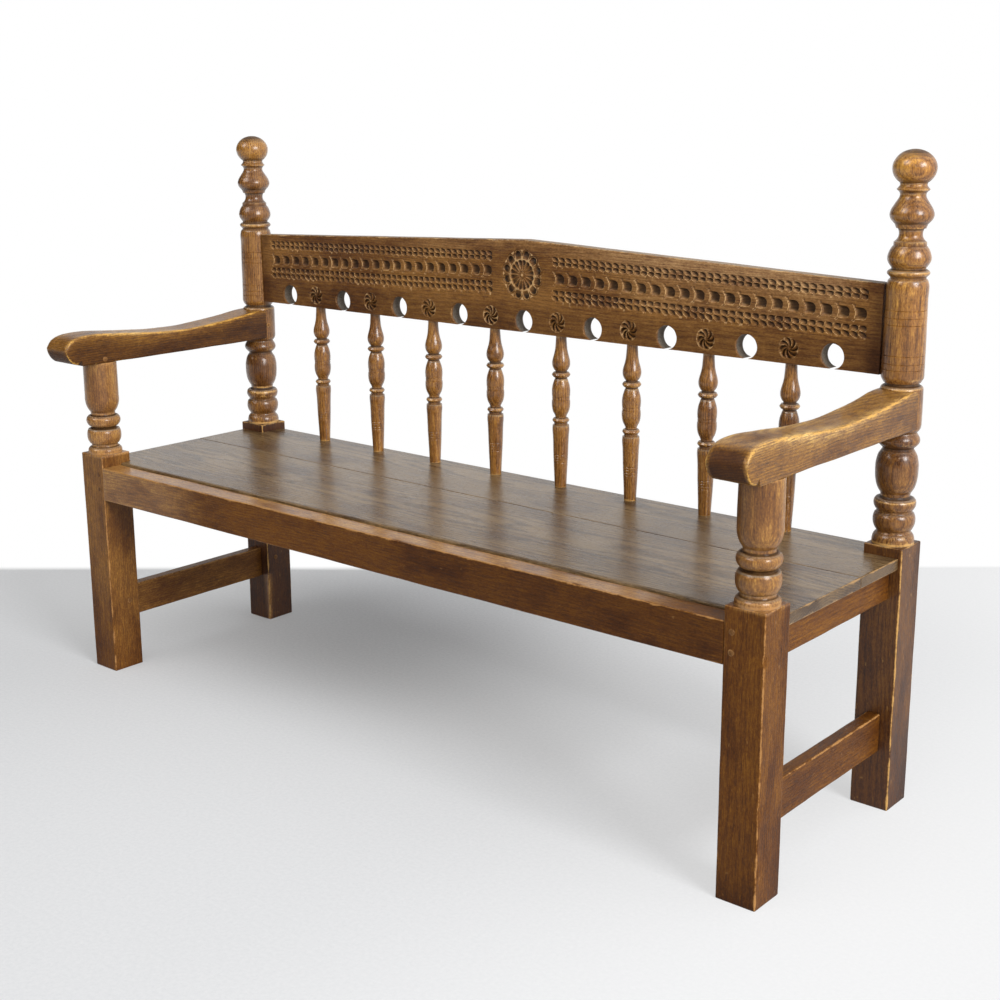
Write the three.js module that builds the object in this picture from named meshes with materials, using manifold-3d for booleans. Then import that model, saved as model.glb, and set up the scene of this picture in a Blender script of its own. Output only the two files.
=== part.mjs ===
// A deacons bench: a long open settle for a church or a hall. Four square legs, the back pair
// turned above the seat into tall posts with ball finials, carry a pegged frame of rails and
// stretchers, a seat of two boards, shaped arms, and a pierced crest rail on turned spindles.
//
// Millimetres, +Z up, -Y is the front. X runs along the bench. The origin is on the floor, in the
// middle of the bench's footprint, arm noses included.

import * as THREE from "three";
import { mergeVertices } from "three/addons/utils/BufferGeometryUtils.js";
import Module from "manifold-3d";

const wasm = await Module();
wasm.setup();

// Driving dimensions of the frame

const benchLength = 1600;
const frameDepth = 490;
const section = 68;
const turnedRadius = 34;
const frontBlockTop = 458;
const backBlockTop = 454;

const railBottom = 367;
const railThickness = 28;
const frontRailTop = 434;
const frontRailLip = 43;
const frontRailRebate = 15;
const stretcherBottom = 101.5;
const stretcherTop = 167.5;
const stretcherThickness = 24;

// Driving dimensions of the seat and the arms

const seatTop = 438;
const seatThickness = 18.5;
const seatEndInset = 6;
const seatBackInset = 10;
const seatFrontGap = 1.5;
const seamFromFront = 294.5;
const seamGap = 0.8;

const armUnderside = 645;
const armThickness = 62.5;
const armWidth = 66;
const armNoseReach = 64;
const armBevel = 2.5;

// Driving dimensions of the back

const crestAboveArm = 19.5;
const crestEndHeight = 144.5;
const crestPeakHeight = 172.8;
const crestThickness = 26;
const finialAboveCrest = 178.7;
const crestHoleRadius = 21;
const crestHoleLift = 20.5;
const spindleCount = 8;
const spindleFromPost = 165;
const spindleRadius = 17.5;

// Joints: fit is the clearance between pieces that touch, and overrun takes a cut past a face

const fit = 0.3;
const overrun = 10;
const tenonThickness = 12;
const tenonShoulder = 6;
const railTenonLength = 44;
const sideTenonLength = 24;
const stretcherTenonLength = 44;
const frontTenonSetback = 18;

const armTenonRadius = 15;
const armTenonHeight = 42;
const armEndTenonThickness = 14;
const armEndTenonLength = 40;
const armEndTenonHeight = 34;
const armEndTenonLift = 12;

const crestTenonLength = 40;
const crestTenonHeight = 96;
const crestTenonLift = 22;
const spindleFootRadius = 8;
const spindleFootLength = 44;
const spindleHeadRadius = 7;
const spindleHeadLength = 28;

const pegRadius = 4.3;
const pegTaper = 0.3;
const pegPastTenon = 4;
const railPegFromShoulder = 13.5;
const frontRailPegHeights = [388.6, 419.8];
const backRailPegHeights = [382, 404];
const stretcherPegFromShoulder = 23.5;
const stretcherPegHeight = 144.3;
const armPegFromAxis = 9.3;
const armPegLift = 8;
const armEndPegFromAxis = 4;
const crestPegFromAxis = 12;
const crestPegInset = 0.8;

// How finely round work is faceted

const postFacets = 14;
const spindleFacets = 8;
const pegFacets = 6;
const holeFacets = 16;
const copeFacets = 32;
const turningStep = 8;
const finialSteps = 7;
const armTopSteps = 20;
const armNoseSteps = 7;

// Places that follow from the dimensions

const half = section / 2;
const legX = benchLength / 2 - half;
const innerX = legX - half;
const backY = (frameDepth + armNoseReach) / 2;
const frontY = backY - frameDepth;
const frontAxisY = frontY + half;
const backAxisY = backY - half;
const seatUnderside = seatTop - seatThickness;
const sideRailTop = seatUnderside - fit;
const crestShoulderX = legX - turnedRadius - fit;
const crestBottom = armUnderside + armThickness + crestAboveArm;
const crestEndTop = crestBottom + crestEndHeight;
const crestPeak = crestBottom + crestPeakHeight;
const finialTop = crestPeak + finialAboveCrest;
const spindleSpacing = 2 * (innerX - spindleFromPost) / (spindleCount - 1);
const crestTenonMiddle = crestBottom + crestTenonLift + crestTenonHeight / 2;
const armEndTenonMiddle = armUnderside + armEndTenonLift + armEndTenonHeight / 2;

const spindleXs = [];
for (let i = 0; i < spindleCount; i += 1) {
  spindleXs.push((i - (spindleCount - 1) / 2) * spindleSpacing);
}

const holeXs = [];
for (let i = 0; i <= spindleCount; i += 1) {
  holeXs.push((i - spindleCount / 2) * spindleSpacing);
}

// Oak, read by eye: brown legs and rails, a greyed seat and arms, golden turned work

const finishes = {
  frame: { color: "#6b4428", roughness: 0.5, metalness: 0 },
  turned: { color: "#8f5f30", roughness: 0.42, metalness: 0 },
  seat: { color: "#8d8073", roughness: 0.38, metalness: 0 },
  arm: { color: "#7a5f4b", roughness: 0.42, metalness: 0 },
  crest: { color: "#5f3f24", roughness: 0.5, metalness: 0 },
  peg: { color: "#4a2f1c", roughness: 0.6, metalness: 0 },
};

// Solids

// A closed manifold from a geometry: corners that coincide are welded, and the slivers that a
// revolved profile leaves at its poles are dropped.
function solid(geometry) {
  const bare = geometry.clone();
  bare.deleteAttribute("normal");
  bare.deleteAttribute("uv");
  const welded = mergeVertices(bare);
  const corners = welded.index.array;
  const kept = [];
  for (let i = 0; i < corners.length; i += 3) {
    const [a, b, c] = corners.slice(i, i + 3);
    if (a !== b && b !== c && c !== a) kept.push(a, b, c);
  }
  return new wasm.Manifold(new wasm.Mesh({
    numProp: 3,
    vertProperties: welded.attributes.position.array,
    triVerts: Uint32Array.from(kept),
  }));
}

// A square-edged block between two places on each axis, made larger all round by grow.
function block(xs, ys, zs, grow = 0) {
  const box = new THREE.Box3();
  box.expandByPoint(new THREE.Vector3(xs[0], ys[0], zs[0]));
  box.expandByPoint(new THREE.Vector3(xs[1], ys[1], zs[1]));
  box.expandByScalar(grow);
  const size = box.getSize(new THREE.Vector3());
  const centre = box.getCenter(new THREE.Vector3());
  const geometry = new THREE.BoxGeometry(size.x, size.y, size.z);
  return solid(geometry.translate(centre.x, centre.y, centre.z));
}

// A profile of (radius, height) points revolved about an upright axis at x, y.
function revolved(profile, facets, x, y) {
  const geometry = new THREE.LatheGeometry(profile, facets).rotateX(Math.PI / 2);
  return solid(geometry.translate(x, y, 0));
}

// A plain round bar between two heights on an upright axis.
function upright(radius, z0, z1, facets, x, y) {
  const corners = [[0, z0], [radius, z0], [radius, z1], [0, z1]];
  return revolved(corners.map(([r, z]) => new THREE.Vector2(r, z)), facets, x, y);
}

// An outline drawn on two axes and extruded along a third, from a start place.
function extruded(outline, [across, up, along], start, settings) {
  const shape = new THREE.Shape(outline.map(([u, v]) => new THREE.Vector2(u, v)));
  const geometry = new THREE.ExtrudeGeometry(shape, { bevelEnabled: false, ...settings });
  geometry.applyMatrix4(new THREE.Matrix4().makeBasis(across, up, along));
  return solid(geometry.translate(start.x, start.y, start.z));
}

const X = new THREE.Vector3(1, 0, 0);
const Y = new THREE.Vector3(0, 1, 0);
const Z = new THREE.Vector3(0, 0, 1);
const towardsFront = Y.clone().negate();

// Turning

// Each row is one member of a turning, from the bottom up: its share of the turned height, then
// its radii as shares of the full radius, evenly spaced up the member. Two radii make a straight
// run, and more are joined by a curve.

const frontLegShares = [
  [0.064, 0.98, 0.965, 0.85],
  [0.048, 0.85, 0.765, 0.86],
  [0.155, 0.86, 0.985, 0.88],
  [0.027, 0.71, 0.71],
  [0.123, 0.84, 0.99, 0.84],
  [0.032, 0.71, 0.71],
  [0.134, 0.75, 0.90, 0.97, 0.985],
  [0.417, 0.985, 0.98],
];

const backPostShares = [
  [0.027, 1, 0.99, 0.89],
  [0.012, 0.89, 0.81, 0.88],
  [0.042, 0.88, 1, 0.89],
  [0.008, 0.89, 0.83, 0.89],
  [0.032, 0.89, 1, 0.88],
  [0.008, 0.70, 0.70],
  [0.118, 0.70, 0.90, 0.985, 1, 0.95, 0.72],
  [0.006, 0.72, 0.72],
  [0.037, 0.79, 0.96, 0.97, 0.84],
  [0.021, 0.84, 0.97, 1],
  [0.088, 1, 1],
  [0.016, 1, 0.985, 0.80],
  [0.008, 0.80, 0.80],
  [0.016, 0.90, 0.98, 1],
  [0.232, 1, 0.95],
  [0.011, 0.95, 0.93, 0.83],
  [0.005, 0.83, 0.83],
  [0.019, 0.83, 0.98, 0.79],
  [0.005, 0.79, 0.79],
  [0.051, 0.79, 0.96, 0.995, 0.92, 0.75],
  [0.011, 0.75, 0.75],
  [0.034, 0.68, 0.57, 0.54, 0.60],
  [0.010, 0.68, 0.74],
  [0.061, 0.74, 0.97, 0.97, 0.83, 0.64],
  [0.018, 0.64, 0.58, 0.64],
  [0.012, 0.64, 0.75, 0.64],
  [0.006, 0.64, 0.61],
];
const finialRiseShare = 0.084;
const finialRadiusShare = 0.99;
const finialNeckShare = 0.61;

const spindleShares = [
  [0.412, 0.64, 0.79, 0.88],
  [0.021, 0.70, 0.70],
  [0.028, 0.78, 0.925, 0.78],
  [0.017, 0.60, 0.60],
  [0.104, 0.60, 0.91, 0.99, 0.97],
  [0.024, 0.90, 0.94, 0.90],
  [0.104, 0.96, 0.99, 0.93, 0.67],
  [0.021, 0.67, 0.67],
  [0.035, 0.80, 1, 0.80],
  [0.010, 0.63, 0.63],
  [0.224, 0.63, 0.96, 0.91, 0.74, 0.64, 0.595, 0.58],
];

// The profile of a stack of members between two heights, never wider than the full radius.
function membersProfile(memberShares, z0, z1, radius) {
  const whole = memberShares.reduce((sum, [riseShare]) => sum + riseShare, 0);
  const points = [];
  let foot = z0;
  for (const [riseShare, ...radiusShares] of memberShares) {
    const rise = (z1 - z0) * riseShare / whole;
    const spans = radiusShares.length - 1;
    const guides = radiusShares.map((share, i) => new THREE.Vector2(share * radius, foot + rise * i / spans));
    const fine = Math.min(Math.round(rise / turningStep), 2 * spans);
    const steps = spans === 1 ? 1 : Math.max(spans, fine);
    for (const point of new THREE.SplineCurve(guides).getPoints(steps)) {
      point.x = Math.min(point.x, radius);
      const last = points.at(-1);
      if (!last || last.distanceTo(point) > fit / 2) points.push(point);
    }
    foot += rise;
  }
  return points;
}

// The ball on top of a post: an ellipse that starts at its neck and closes on the axis.
function ballProfile(z0, z1, radius, neckRadius) {
  const start = Math.acos(neckRadius / radius);
  const halfHeight = (z1 - z0) / (1 + Math.sin(start));
  const points = [];
  for (let i = 1; i < finialSteps; i += 1) {
    const angle = (Math.PI / 2 + start) * i / finialSteps - start;
    points.push(new THREE.Vector2(radius * Math.cos(angle), z1 - halfHeight * (1 - Math.sin(angle))));
  }
  return [...points, new THREE.Vector2(0, z1)];
}

// Tenons: each is stated once, and its mortise is the same block grown by the fit

function railTenon(side, centreY, top, grow = 0) {
  const xs = [side * (innerX - overrun), side * (innerX + railTenonLength)];
  const ys = [centreY - tenonThickness / 2, centreY + tenonThickness / 2];
  return block(xs, ys, [railBottom + tenonShoulder, top - tenonShoulder], grow);
}

function frontRailTenon(side, grow) {
  return railTenon(side, frontY + frontTenonSetback + tenonThickness / 2, frontRailTop, grow);
}

function backRailTenon(side, grow) {
  return railTenon(side, backAxisY, sideRailTop, grow);
}

// A side rail or a stretcher has one core that makes the tenons at both its ends.
function endCore(side, tenonLength, z0, z1, grow = 0) {
  const xs = [side * legX - tenonThickness / 2, side * legX + tenonThickness / 2];
  const ys = [frontAxisY + half - tenonLength, backAxisY - half + tenonLength];
  return block(xs, ys, [z0 + tenonShoulder, z1 - tenonShoulder], grow);
}

function sideRailCore(side, grow) {
  return endCore(side, sideTenonLength, railBottom, sideRailTop, grow);
}

function stretcherCore(side, grow) {
  return endCore(side, stretcherTenonLength, stretcherBottom, stretcherTop, grow);
}

function armTenon(side, grow = 0) {
  const z0 = armUnderside - overrun;
  const z1 = armUnderside + armTenonHeight + grow;
  return upright(armTenonRadius + grow, z0, z1, postFacets, side * legX, frontAxisY);
}

function armEndTenon(side, grow = 0) {
  const face = backAxisY - turnedRadius;
  const xs = [side * legX - armEndTenonThickness / 2, side * legX + armEndTenonThickness / 2];
  const zs = [armEndTenonMiddle - armEndTenonHeight / 2, armEndTenonMiddle + armEndTenonHeight / 2];
  return block(xs, [face - overrun, face + armEndTenonLength], zs, grow);
}

function crestTenon(side, grow = 0) {
  const xs = [side * (crestShoulderX - overrun), side * (crestShoulderX + crestTenonLength)];
  const ys = [backAxisY - tenonThickness / 2, backAxisY + tenonThickness / 2];
  const zs = [crestTenonMiddle - crestTenonHeight / 2, crestTenonMiddle + crestTenonHeight / 2];
  return block(xs, ys, zs, grow);
}

function spindleFoot(x, grow = 0) {
  const z0 = seatTop - spindleFootLength - grow;
  return upright(spindleFootRadius + grow, z0, seatTop + overrun, spindleFacets, x, backAxisY);
}

function spindleHead(x, grow = 0) {
  const z1 = crestBottom + spindleHeadLength + grow;
  return upright(spindleHeadRadius + grow, crestBottom - overrun, z1, spindleFacets, x, backAxisY);
}

// Pegs: each has the place where it enters, the way it is driven, and its length

function frontRailPegs(side) {
  const x = side * (innerX + railPegFromShoulder);
  const length = frontTenonSetback + tenonThickness + pegPastTenon;
  return frontRailPegHeights.map((z) => ({ entry: new THREE.Vector3(x, frontY, z), way: Y, length }));
}

function backRailPegs(side) {
  const x = side * (innerX + railPegFromShoulder);
  const length = half + tenonThickness / 2 + pegPastTenon;
  return backRailPegHeights.map((z) => ({ entry: new THREE.Vector3(x, backY, z), way: towardsFront, length }));
}

function stretcherPegs(side) {
  const way = X.clone().multiplyScalar(side);
  const length = half + tenonThickness / 2 + pegPastTenon;
  const fromAxis = half - stretcherPegFromShoulder;
  const ys = [frontAxisY + fromAxis, backAxisY - fromAxis];
  return ys.map((y) => ({ entry: new THREE.Vector3(side * innerX, y, stretcherPegHeight), way, length }));
}

function armPeg(side) {
  const way = X.clone().multiplyScalar(side);
  const entry = new THREE.Vector3(
    side * (legX - armWidth / 2),
    frontAxisY - armPegFromAxis,
    armUnderside + armPegLift,
  );
  return { entry, way, length: armWidth / 2 + armTenonRadius };
}

function armEndPeg(side) {
  const way = X.clone().multiplyScalar(side);
  const drum = Math.sqrt(turnedRadius ** 2 - armEndPegFromAxis ** 2);
  const entry = new THREE.Vector3(side * (legX - drum), backAxisY - armEndPegFromAxis, armEndTenonMiddle);
  return { entry, way, length: drum + armEndTenonThickness / 2 + pegPastTenon };
}

function crestPeg(side) {
  const post = Math.sqrt(turnedRadius ** 2 - crestPegFromAxis ** 2) - crestPegInset;
  const entry = new THREE.Vector3(side * (legX - crestPegFromAxis), backAxisY + post, crestTenonMiddle);
  return { entry, way: towardsFront, length: post + tenonThickness / 2 + pegPastTenon };
}

// The bored hole for a peg, open where the peg enters.
function pegHole({ entry, way, length }) {
  const reach = length + overrun + fit;
  const geometry = new THREE.CylinderGeometry(pegRadius + fit, pegRadius + fit, reach, pegFacets);
  geometry.applyQuaternion(new THREE.Quaternion().setFromUnitVectors(Y, way.clone().negate()));
  const centre = entry.clone().addScaledVector(way, (length + fit - overrun) / 2);
  return solid(geometry.translate(centre.x, centre.y, centre.z));
}

function bored(piece, pegs) {
  return pegs.reduce((left, peg) => left.subtract(pegHole(peg)), piece);
}

// Pieces

function frontLeg(side) {
  const x = side * legX;
  const shoulder = armUnderside - fit;
  const turning = [
    new THREE.Vector2(0, frontBlockTop - overrun),
    new THREE.Vector2(armTenonRadius, frontBlockTop - overrun),
    ...membersProfile(frontLegShares, frontBlockTop, shoulder, turnedRadius),
    new THREE.Vector2(0, shoulder),
  ];
  const foot = block([x - half, x + half], [frontY, frontY + section], [0, frontBlockTop]);
  const leg = foot
    .add(revolved(turning, postFacets, x, frontAxisY))
    .add(armTenon(side))
    .subtract(frontRailTenon(side, fit))
    .subtract(sideRailCore(side, fit))
    .subtract(stretcherCore(side, fit));
  return bored(leg, [...frontRailPegs(side), stretcherPegs(side)[0], armPeg(side)]);
}

function backPost(side) {
  const x = side * legX;
  const neck = finialTop - (finialTop - backBlockTop) * finialRiseShare;
  const turning = [
    new THREE.Vector2(0, backBlockTop - overrun),
    new THREE.Vector2(armTenonRadius, backBlockTop - overrun),
    ...membersProfile(backPostShares, backBlockTop, neck, turnedRadius),
    ...ballProfile(neck, finialTop, turnedRadius * finialRadiusShare, turnedRadius * finialNeckShare),
  ];
  const foot = block([x - half, x + half], [backY - section, backY], [0, backBlockTop]);
  const post = foot
    .add(revolved(turning, postFacets, x, backAxisY))
    .subtract(backRailTenon(side, fit))
    .subtract(sideRailCore(side, fit))
    .subtract(stretcherCore(side, fit))
    .subtract(armEndTenon(side, fit))
    .subtract(crestTenon(side, fit));
  return bored(post, [...backRailPegs(side), stretcherPegs(side)[1], armEndPeg(side), crestPeg(side)]);
}

// The front rail has a lip that hides the seat's front edge, and a rebate that carries the board.
function frontRail() {
  const back = frontY + frontRailLip;
  const end = innerX - fit;
  const outline = [
    [frontY, railBottom],
    [back + frontRailRebate, railBottom],
    [back + frontRailRebate, seatUnderside - fit],
    [back, seatUnderside - fit],
    [back, frontRailTop],
    [frontY, frontRailTop],
  ];
  const rail = extruded(outline, [Y, Z, X], new THREE.Vector3(-end, 0, 0), { depth: 2 * end });
  const tenoned = rail.add(frontRailTenon(-1, 0)).add(frontRailTenon(1, 0));
  return bored(tenoned, [...frontRailPegs(-1), ...frontRailPegs(1)]);
}

function backRail() {
  const end = innerX - fit;
  const ys = [backAxisY - railThickness / 2, backAxisY + railThickness / 2];
  let rail = block([-end, end], ys, [railBottom, sideRailTop]);
  rail = rail.add(backRailTenon(-1, 0)).add(backRailTenon(1, 0));
  for (const x of spindleXs) {
    rail = rail.subtract(spindleFoot(x, fit));
  }
  return bored(rail, [...backRailPegs(-1), ...backRailPegs(1)]);
}

function betweenLegs(side, thickness, z0, z1) {
  const xs = [side * legX - thickness / 2, side * legX + thickness / 2];
  return block(xs, [frontAxisY + half + fit, backAxisY - half - fit], [z0, z1]);
}

function sideRail(side) {
  return betweenLegs(side, railThickness, railBottom, sideRailTop).add(sideRailCore(side, 0));
}

function stretcher(side) {
  const body = betweenLegs(side, stretcherThickness, stretcherBottom, stretcherTop);
  return bored(body.add(stretcherCore(side, 0)), stretcherPegs(side));
}

// Both boards run from end to end, and are notched round the legs at their outer corners.
function seatBoard(edgeY, notchY, seamY) {
  const end = benchLength / 2 - seatEndInset;
  const notchX = innerX - fit;
  const rightHalf = [[notchX, edgeY], [notchX, notchY], [end, notchY], [end, seamY]];
  const leftHalf = rightHalf.map(([x, y]) => [-x, y]).reverse();
  const start = new THREE.Vector3(0, 0, seatUnderside);
  return [[...rightHalf, ...leftHalf], start];
}

function frontBoard() {
  const edgeY = frontY + frontRailLip + seatFrontGap;
  const [outline, start] = seatBoard(edgeY, frontY + section + fit, frontY + seamFromFront);
  return extruded(outline, [X, Y, Z], start, { depth: seatThickness });
}

function backBoard() {
  const seamY = frontY + seamFromFront + seamGap;
  const [outline, start] = seatBoard(backY - seatBackInset, backY - section - fit, seamY);
  let board = extruded(outline.reverse(), [X, Y, Z], start, { depth: seatThickness });
  for (const x of spindleXs) {
    board = board.subtract(spindleFoot(x, fit));
  }
  return board;
}

// The arm's side outline, as shares of its length from nose to post and of its thickness.
const armTopShares = [
  [0, 0.56], [0.008, 0.69], [0.027, 0.84], [0.065, 0.936], [0.123, 0.955], [0.22, 0.904],
  [0.315, 0.832], [0.43, 0.757], [0.546, 0.728], [0.66, 0.763], [0.777, 0.845], [0.892, 0.96], [1, 1],
];
const armNickShares = [[0.071, 0], [0.065, 0.16]];
const armNoseShares = [[0.060, 0.08], [0.046, 0.07], [0.029, 0.13], [0.0154, 0.224], [0.004, 0.40], [0, 0.56]];

function arm(side) {
  const noseY = frontY - armNoseReach;
  const armLength = backAxisY - noseY;
  const place = ([along, up]) => new THREE.Vector2(noseY + along * armLength, armUnderside + up * armThickness);
  const top = new THREE.SplineCurve(armTopShares.map(place)).getPoints(armTopSteps);
  const nose = new THREE.SplineCurve(armNoseShares.map(place)).getPoints(armNoseSteps);
  const outline = [
    ...nose.reverse(),
    ...armNickShares.map(place).reverse(),
    place([1, 0]),
    ...top.reverse().slice(0, -1),
  ].map(({ x, y }) => [x, y]);
  const settings = {
    depth: armWidth - 2 * armBevel,
    bevelEnabled: true,
    bevelThickness: armBevel,
    bevelSize: armBevel,
    bevelOffset: -armBevel,
    bevelSegments: 1,
  };
  const start = new THREE.Vector3(side * legX - armWidth / 2 + armBevel, 0, 0);
  const shaped = extruded(outline, [Y, Z, X], start, settings);
  const cope = upright(
    turnedRadius + fit,
    armUnderside - overrun,
    armUnderside + armThickness + overrun,
    copeFacets,
    side * legX,
    backAxisY,
  );
  const tenoned = shaped.subtract(cope).add(armEndTenon(side, 0)).subtract(armTenon(side, fit));
  return bored(tenoned, [armPeg(side), armEndPeg(side)]);
}

// The crest rises in two straight slopes to a low gable, and its row of holes breaks through the
// lower edge in narrow slits.
function crestRail() {
  const outline = [
    [-crestShoulderX, crestBottom],
    [crestShoulderX, crestBottom],
    [crestShoulderX, crestEndTop],
    [0, crestPeak],
    [-crestShoulderX, crestEndTop],
  ];
  const start = new THREE.Vector3(0, backAxisY + crestThickness / 2, 0);
  let rail = extruded(outline, [X, Z, towardsFront], start, { depth: crestThickness });
  for (const x of holeXs) {
    const reach = crestThickness + overrun;
    const hole = new THREE.CylinderGeometry(crestHoleRadius, crestHoleRadius, reach, holeFacets);
    rail = rail.subtract(solid(hole.translate(x, backAxisY, crestBottom + crestHoleLift)));
  }
  for (const x of spindleXs) {
    rail = rail.subtract(spindleHead(x, fit));
  }
  rail = rail.add(crestTenon(-1)).add(crestTenon(1));
  return bored(rail, [crestPeg(-1), crestPeg(1)]);
}

function spindle(x) {
  const z0 = seatTop + fit;
  const z1 = crestBottom - fit;
  const profile = membersProfile(spindleShares, z0, z1, spindleRadius);
  const turning = [new THREE.Vector2(0, z0), ...profile, new THREE.Vector2(0, z1)];
  return revolved(turning, spindleFacets, x, backAxisY).add(spindleFoot(x)).add(spindleHead(x));
}

// Assembly: each piece's mesh has its own origin, at its home in the bench

function material(finish) {
  return new THREE.MeshStandardMaterial(finishes[finish]);
}

function placed(name, finish, manifold, home) {
  const { vertProperties, triVerts } = manifold.getMesh();
  const geometry = new THREE.BufferGeometry();
  geometry.setAttribute("position", new THREE.BufferAttribute(vertProperties, 3));
  geometry.setIndex(new THREE.BufferAttribute(triVerts, 1));
  geometry.translate(-home.x, -home.y, -home.z);
  geometry.computeVertexNormals();
  const mesh = new THREE.Mesh(geometry, material(finish));
  mesh.name = name;
  mesh.position.copy(home);
  return mesh;
}

function drivenPeg(name, { entry, way, length }) {
  const geometry = new THREE.CylinderGeometry(pegRadius, pegRadius - pegTaper, length, pegFacets);
  const mesh = new THREE.Mesh(geometry, material("peg"));
  mesh.name = name;
  mesh.position.copy(entry).addScaledVector(way, length / 2);
  mesh.quaternion.setFromUnitVectors(Y, way.clone().negate());
  return mesh;
}

const frame = new THREE.Group();
const seat = new THREE.Group();
const back = new THREE.Group();
const pegs = new THREE.Group();

for (const [word, side] of [["left", -1], ["right", 1]]) {
  const frontHome = new THREE.Vector3(side * legX, frontAxisY, 0);
  const backHome = new THREE.Vector3(side * legX, backAxisY, 0);
  const railHome = new THREE.Vector3(side * legX, 0, railBottom);
  const stretcherHome = new THREE.Vector3(side * legX, 0, stretcherBottom);
  const armHome = new THREE.Vector3(side * legX, frontAxisY, armUnderside);
  frame.add(placed(`front_leg_${word}`, "frame", frontLeg(side), frontHome));
  frame.add(placed(`back_post_${word}`, "turned", backPost(side), backHome));
  frame.add(placed(`side_seat_rail_${word}`, "frame", sideRail(side), railHome));
  frame.add(placed(`lower_stretcher_${word}`, "frame", stretcher(side), stretcherHome));
  back.add(placed(`arm_${word}`, "arm", arm(side), armHome));
  frontRailPegs(side).forEach((peg, i) => pegs.add(drivenPeg(`front_rail_peg_${word}_${i + 1}`, peg)));
  backRailPegs(side).forEach((peg, i) => pegs.add(drivenPeg(`back_rail_peg_${word}_${i + 1}`, peg)));
  stretcherPegs(side).forEach((peg, i) => pegs.add(drivenPeg(`stretcher_peg_${word}_${i + 1}`, peg)));
  pegs.add(drivenPeg(`arm_peg_${word}`, armPeg(side)));
  pegs.add(drivenPeg(`arm_end_peg_${word}`, armEndPeg(side)));
  pegs.add(drivenPeg(`crest_peg_${word}`, crestPeg(side)));
}

frame.add(placed("front_seat_rail", "frame", frontRail(), new THREE.Vector3(0, frontY, railBottom)));
frame.add(placed("back_seat_rail", "frame", backRail(), new THREE.Vector3(0, backAxisY, railBottom)));
seat.add(placed("seat_board_front", "seat", frontBoard(), new THREE.Vector3(0, frontY, seatUnderside)));
seat.add(placed("seat_board_back", "seat", backBoard(), new THREE.Vector3(0, backAxisY, seatUnderside)));
back.add(placed("crest_rail", "crest", crestRail(), new THREE.Vector3(0, backAxisY, crestBottom)));
spindleXs.forEach((x, i) => {
  back.add(placed(`spindle_${i + 1}`, "turned", spindle(x), new THREE.Vector3(x, backAxisY, seatTop)));
});

const bench = new THREE.Group();
bench.name = "deacons_bench";
bench.add(frame, seat, back, pegs);
export default bench;
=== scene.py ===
# %% [markdown]
# # A deacons bench, dressed for its portrait
#
# A deacons bench is the long open settle of a church or a hall: four square legs, the back pair
# turned above the seat into tall posts with ball tops, a pegged frame, a seat of two boards,
# shaped arms, and a pierced and chip-carved crest rail on turned spindles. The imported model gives
# its true sizes. This notebook makes each piece again at full detail, in millimetres, in the same
# places, and gives it the oak, the wear and the dust of the real one.

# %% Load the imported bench
import itertools
import math

import bmesh
import bpy
import numpy as np
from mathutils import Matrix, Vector, geometry


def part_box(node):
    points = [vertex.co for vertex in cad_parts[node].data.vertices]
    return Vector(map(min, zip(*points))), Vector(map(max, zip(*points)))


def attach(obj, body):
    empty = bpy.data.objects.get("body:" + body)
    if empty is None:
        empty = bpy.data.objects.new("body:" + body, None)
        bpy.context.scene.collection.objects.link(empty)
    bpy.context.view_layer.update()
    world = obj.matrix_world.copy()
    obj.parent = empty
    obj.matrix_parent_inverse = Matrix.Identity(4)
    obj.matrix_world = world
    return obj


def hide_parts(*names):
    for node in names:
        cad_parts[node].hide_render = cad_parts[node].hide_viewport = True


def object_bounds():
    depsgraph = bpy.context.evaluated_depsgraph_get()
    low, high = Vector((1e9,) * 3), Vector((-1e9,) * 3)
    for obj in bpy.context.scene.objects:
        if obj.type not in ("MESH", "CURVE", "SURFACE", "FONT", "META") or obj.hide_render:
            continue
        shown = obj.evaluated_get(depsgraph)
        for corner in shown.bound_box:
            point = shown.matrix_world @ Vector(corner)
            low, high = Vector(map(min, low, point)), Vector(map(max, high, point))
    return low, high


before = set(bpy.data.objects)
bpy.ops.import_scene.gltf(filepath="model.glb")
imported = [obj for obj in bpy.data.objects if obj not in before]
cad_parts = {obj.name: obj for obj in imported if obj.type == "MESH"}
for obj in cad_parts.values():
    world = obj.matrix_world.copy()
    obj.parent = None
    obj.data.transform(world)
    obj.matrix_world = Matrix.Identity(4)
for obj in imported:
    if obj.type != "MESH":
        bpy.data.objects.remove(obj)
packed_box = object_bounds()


MM = 0.001
scene = bpy.context.scene
print("pieces in the packed model:", len(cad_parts))


# %% [markdown]
# ## The camera
#
# The photograph was taken from the right end, a little above the finials. The camera's place and
# its lens were worked out from the corners of the four legs, whose sizes the model knows. A camera
# could also be aimed by eye, but a solved one lets every edge be compared pixel by pixel.

# %% Stand the camera where the photographer stood
camera = bpy.data.objects.new("camera", bpy.data.cameras.new("camera"))
scene.collection.objects.link(camera)
camera.location = (1.8132, -1.97525, 1.1471)
camera.rotation_euler = (math.radians(76.13), math.radians(0.063), math.radians(39.484))
camera.data.lens = 54.81
camera.data.sensor_width = 36.0
camera.data.shift_x = -0.0215
camera.data.shift_y = -0.0212
camera.data.clip_end = 60
scene.camera = camera
scene.view_settings.view_transform = "Standard"
print("lens", camera.data.lens, "mm")


# %% [markdown]
# ## Shader sums in plain Python
#
# Oak is a sum of many faint things: rings, fibres, pores, wear, dust. Written node by node that
# sum is hard to read, so one small class wraps a socket and lets Python's own operators add the
# Math nodes. Vectors go through Vector Math and colours through Mix, because a Math node would
# turn them grey.

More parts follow.
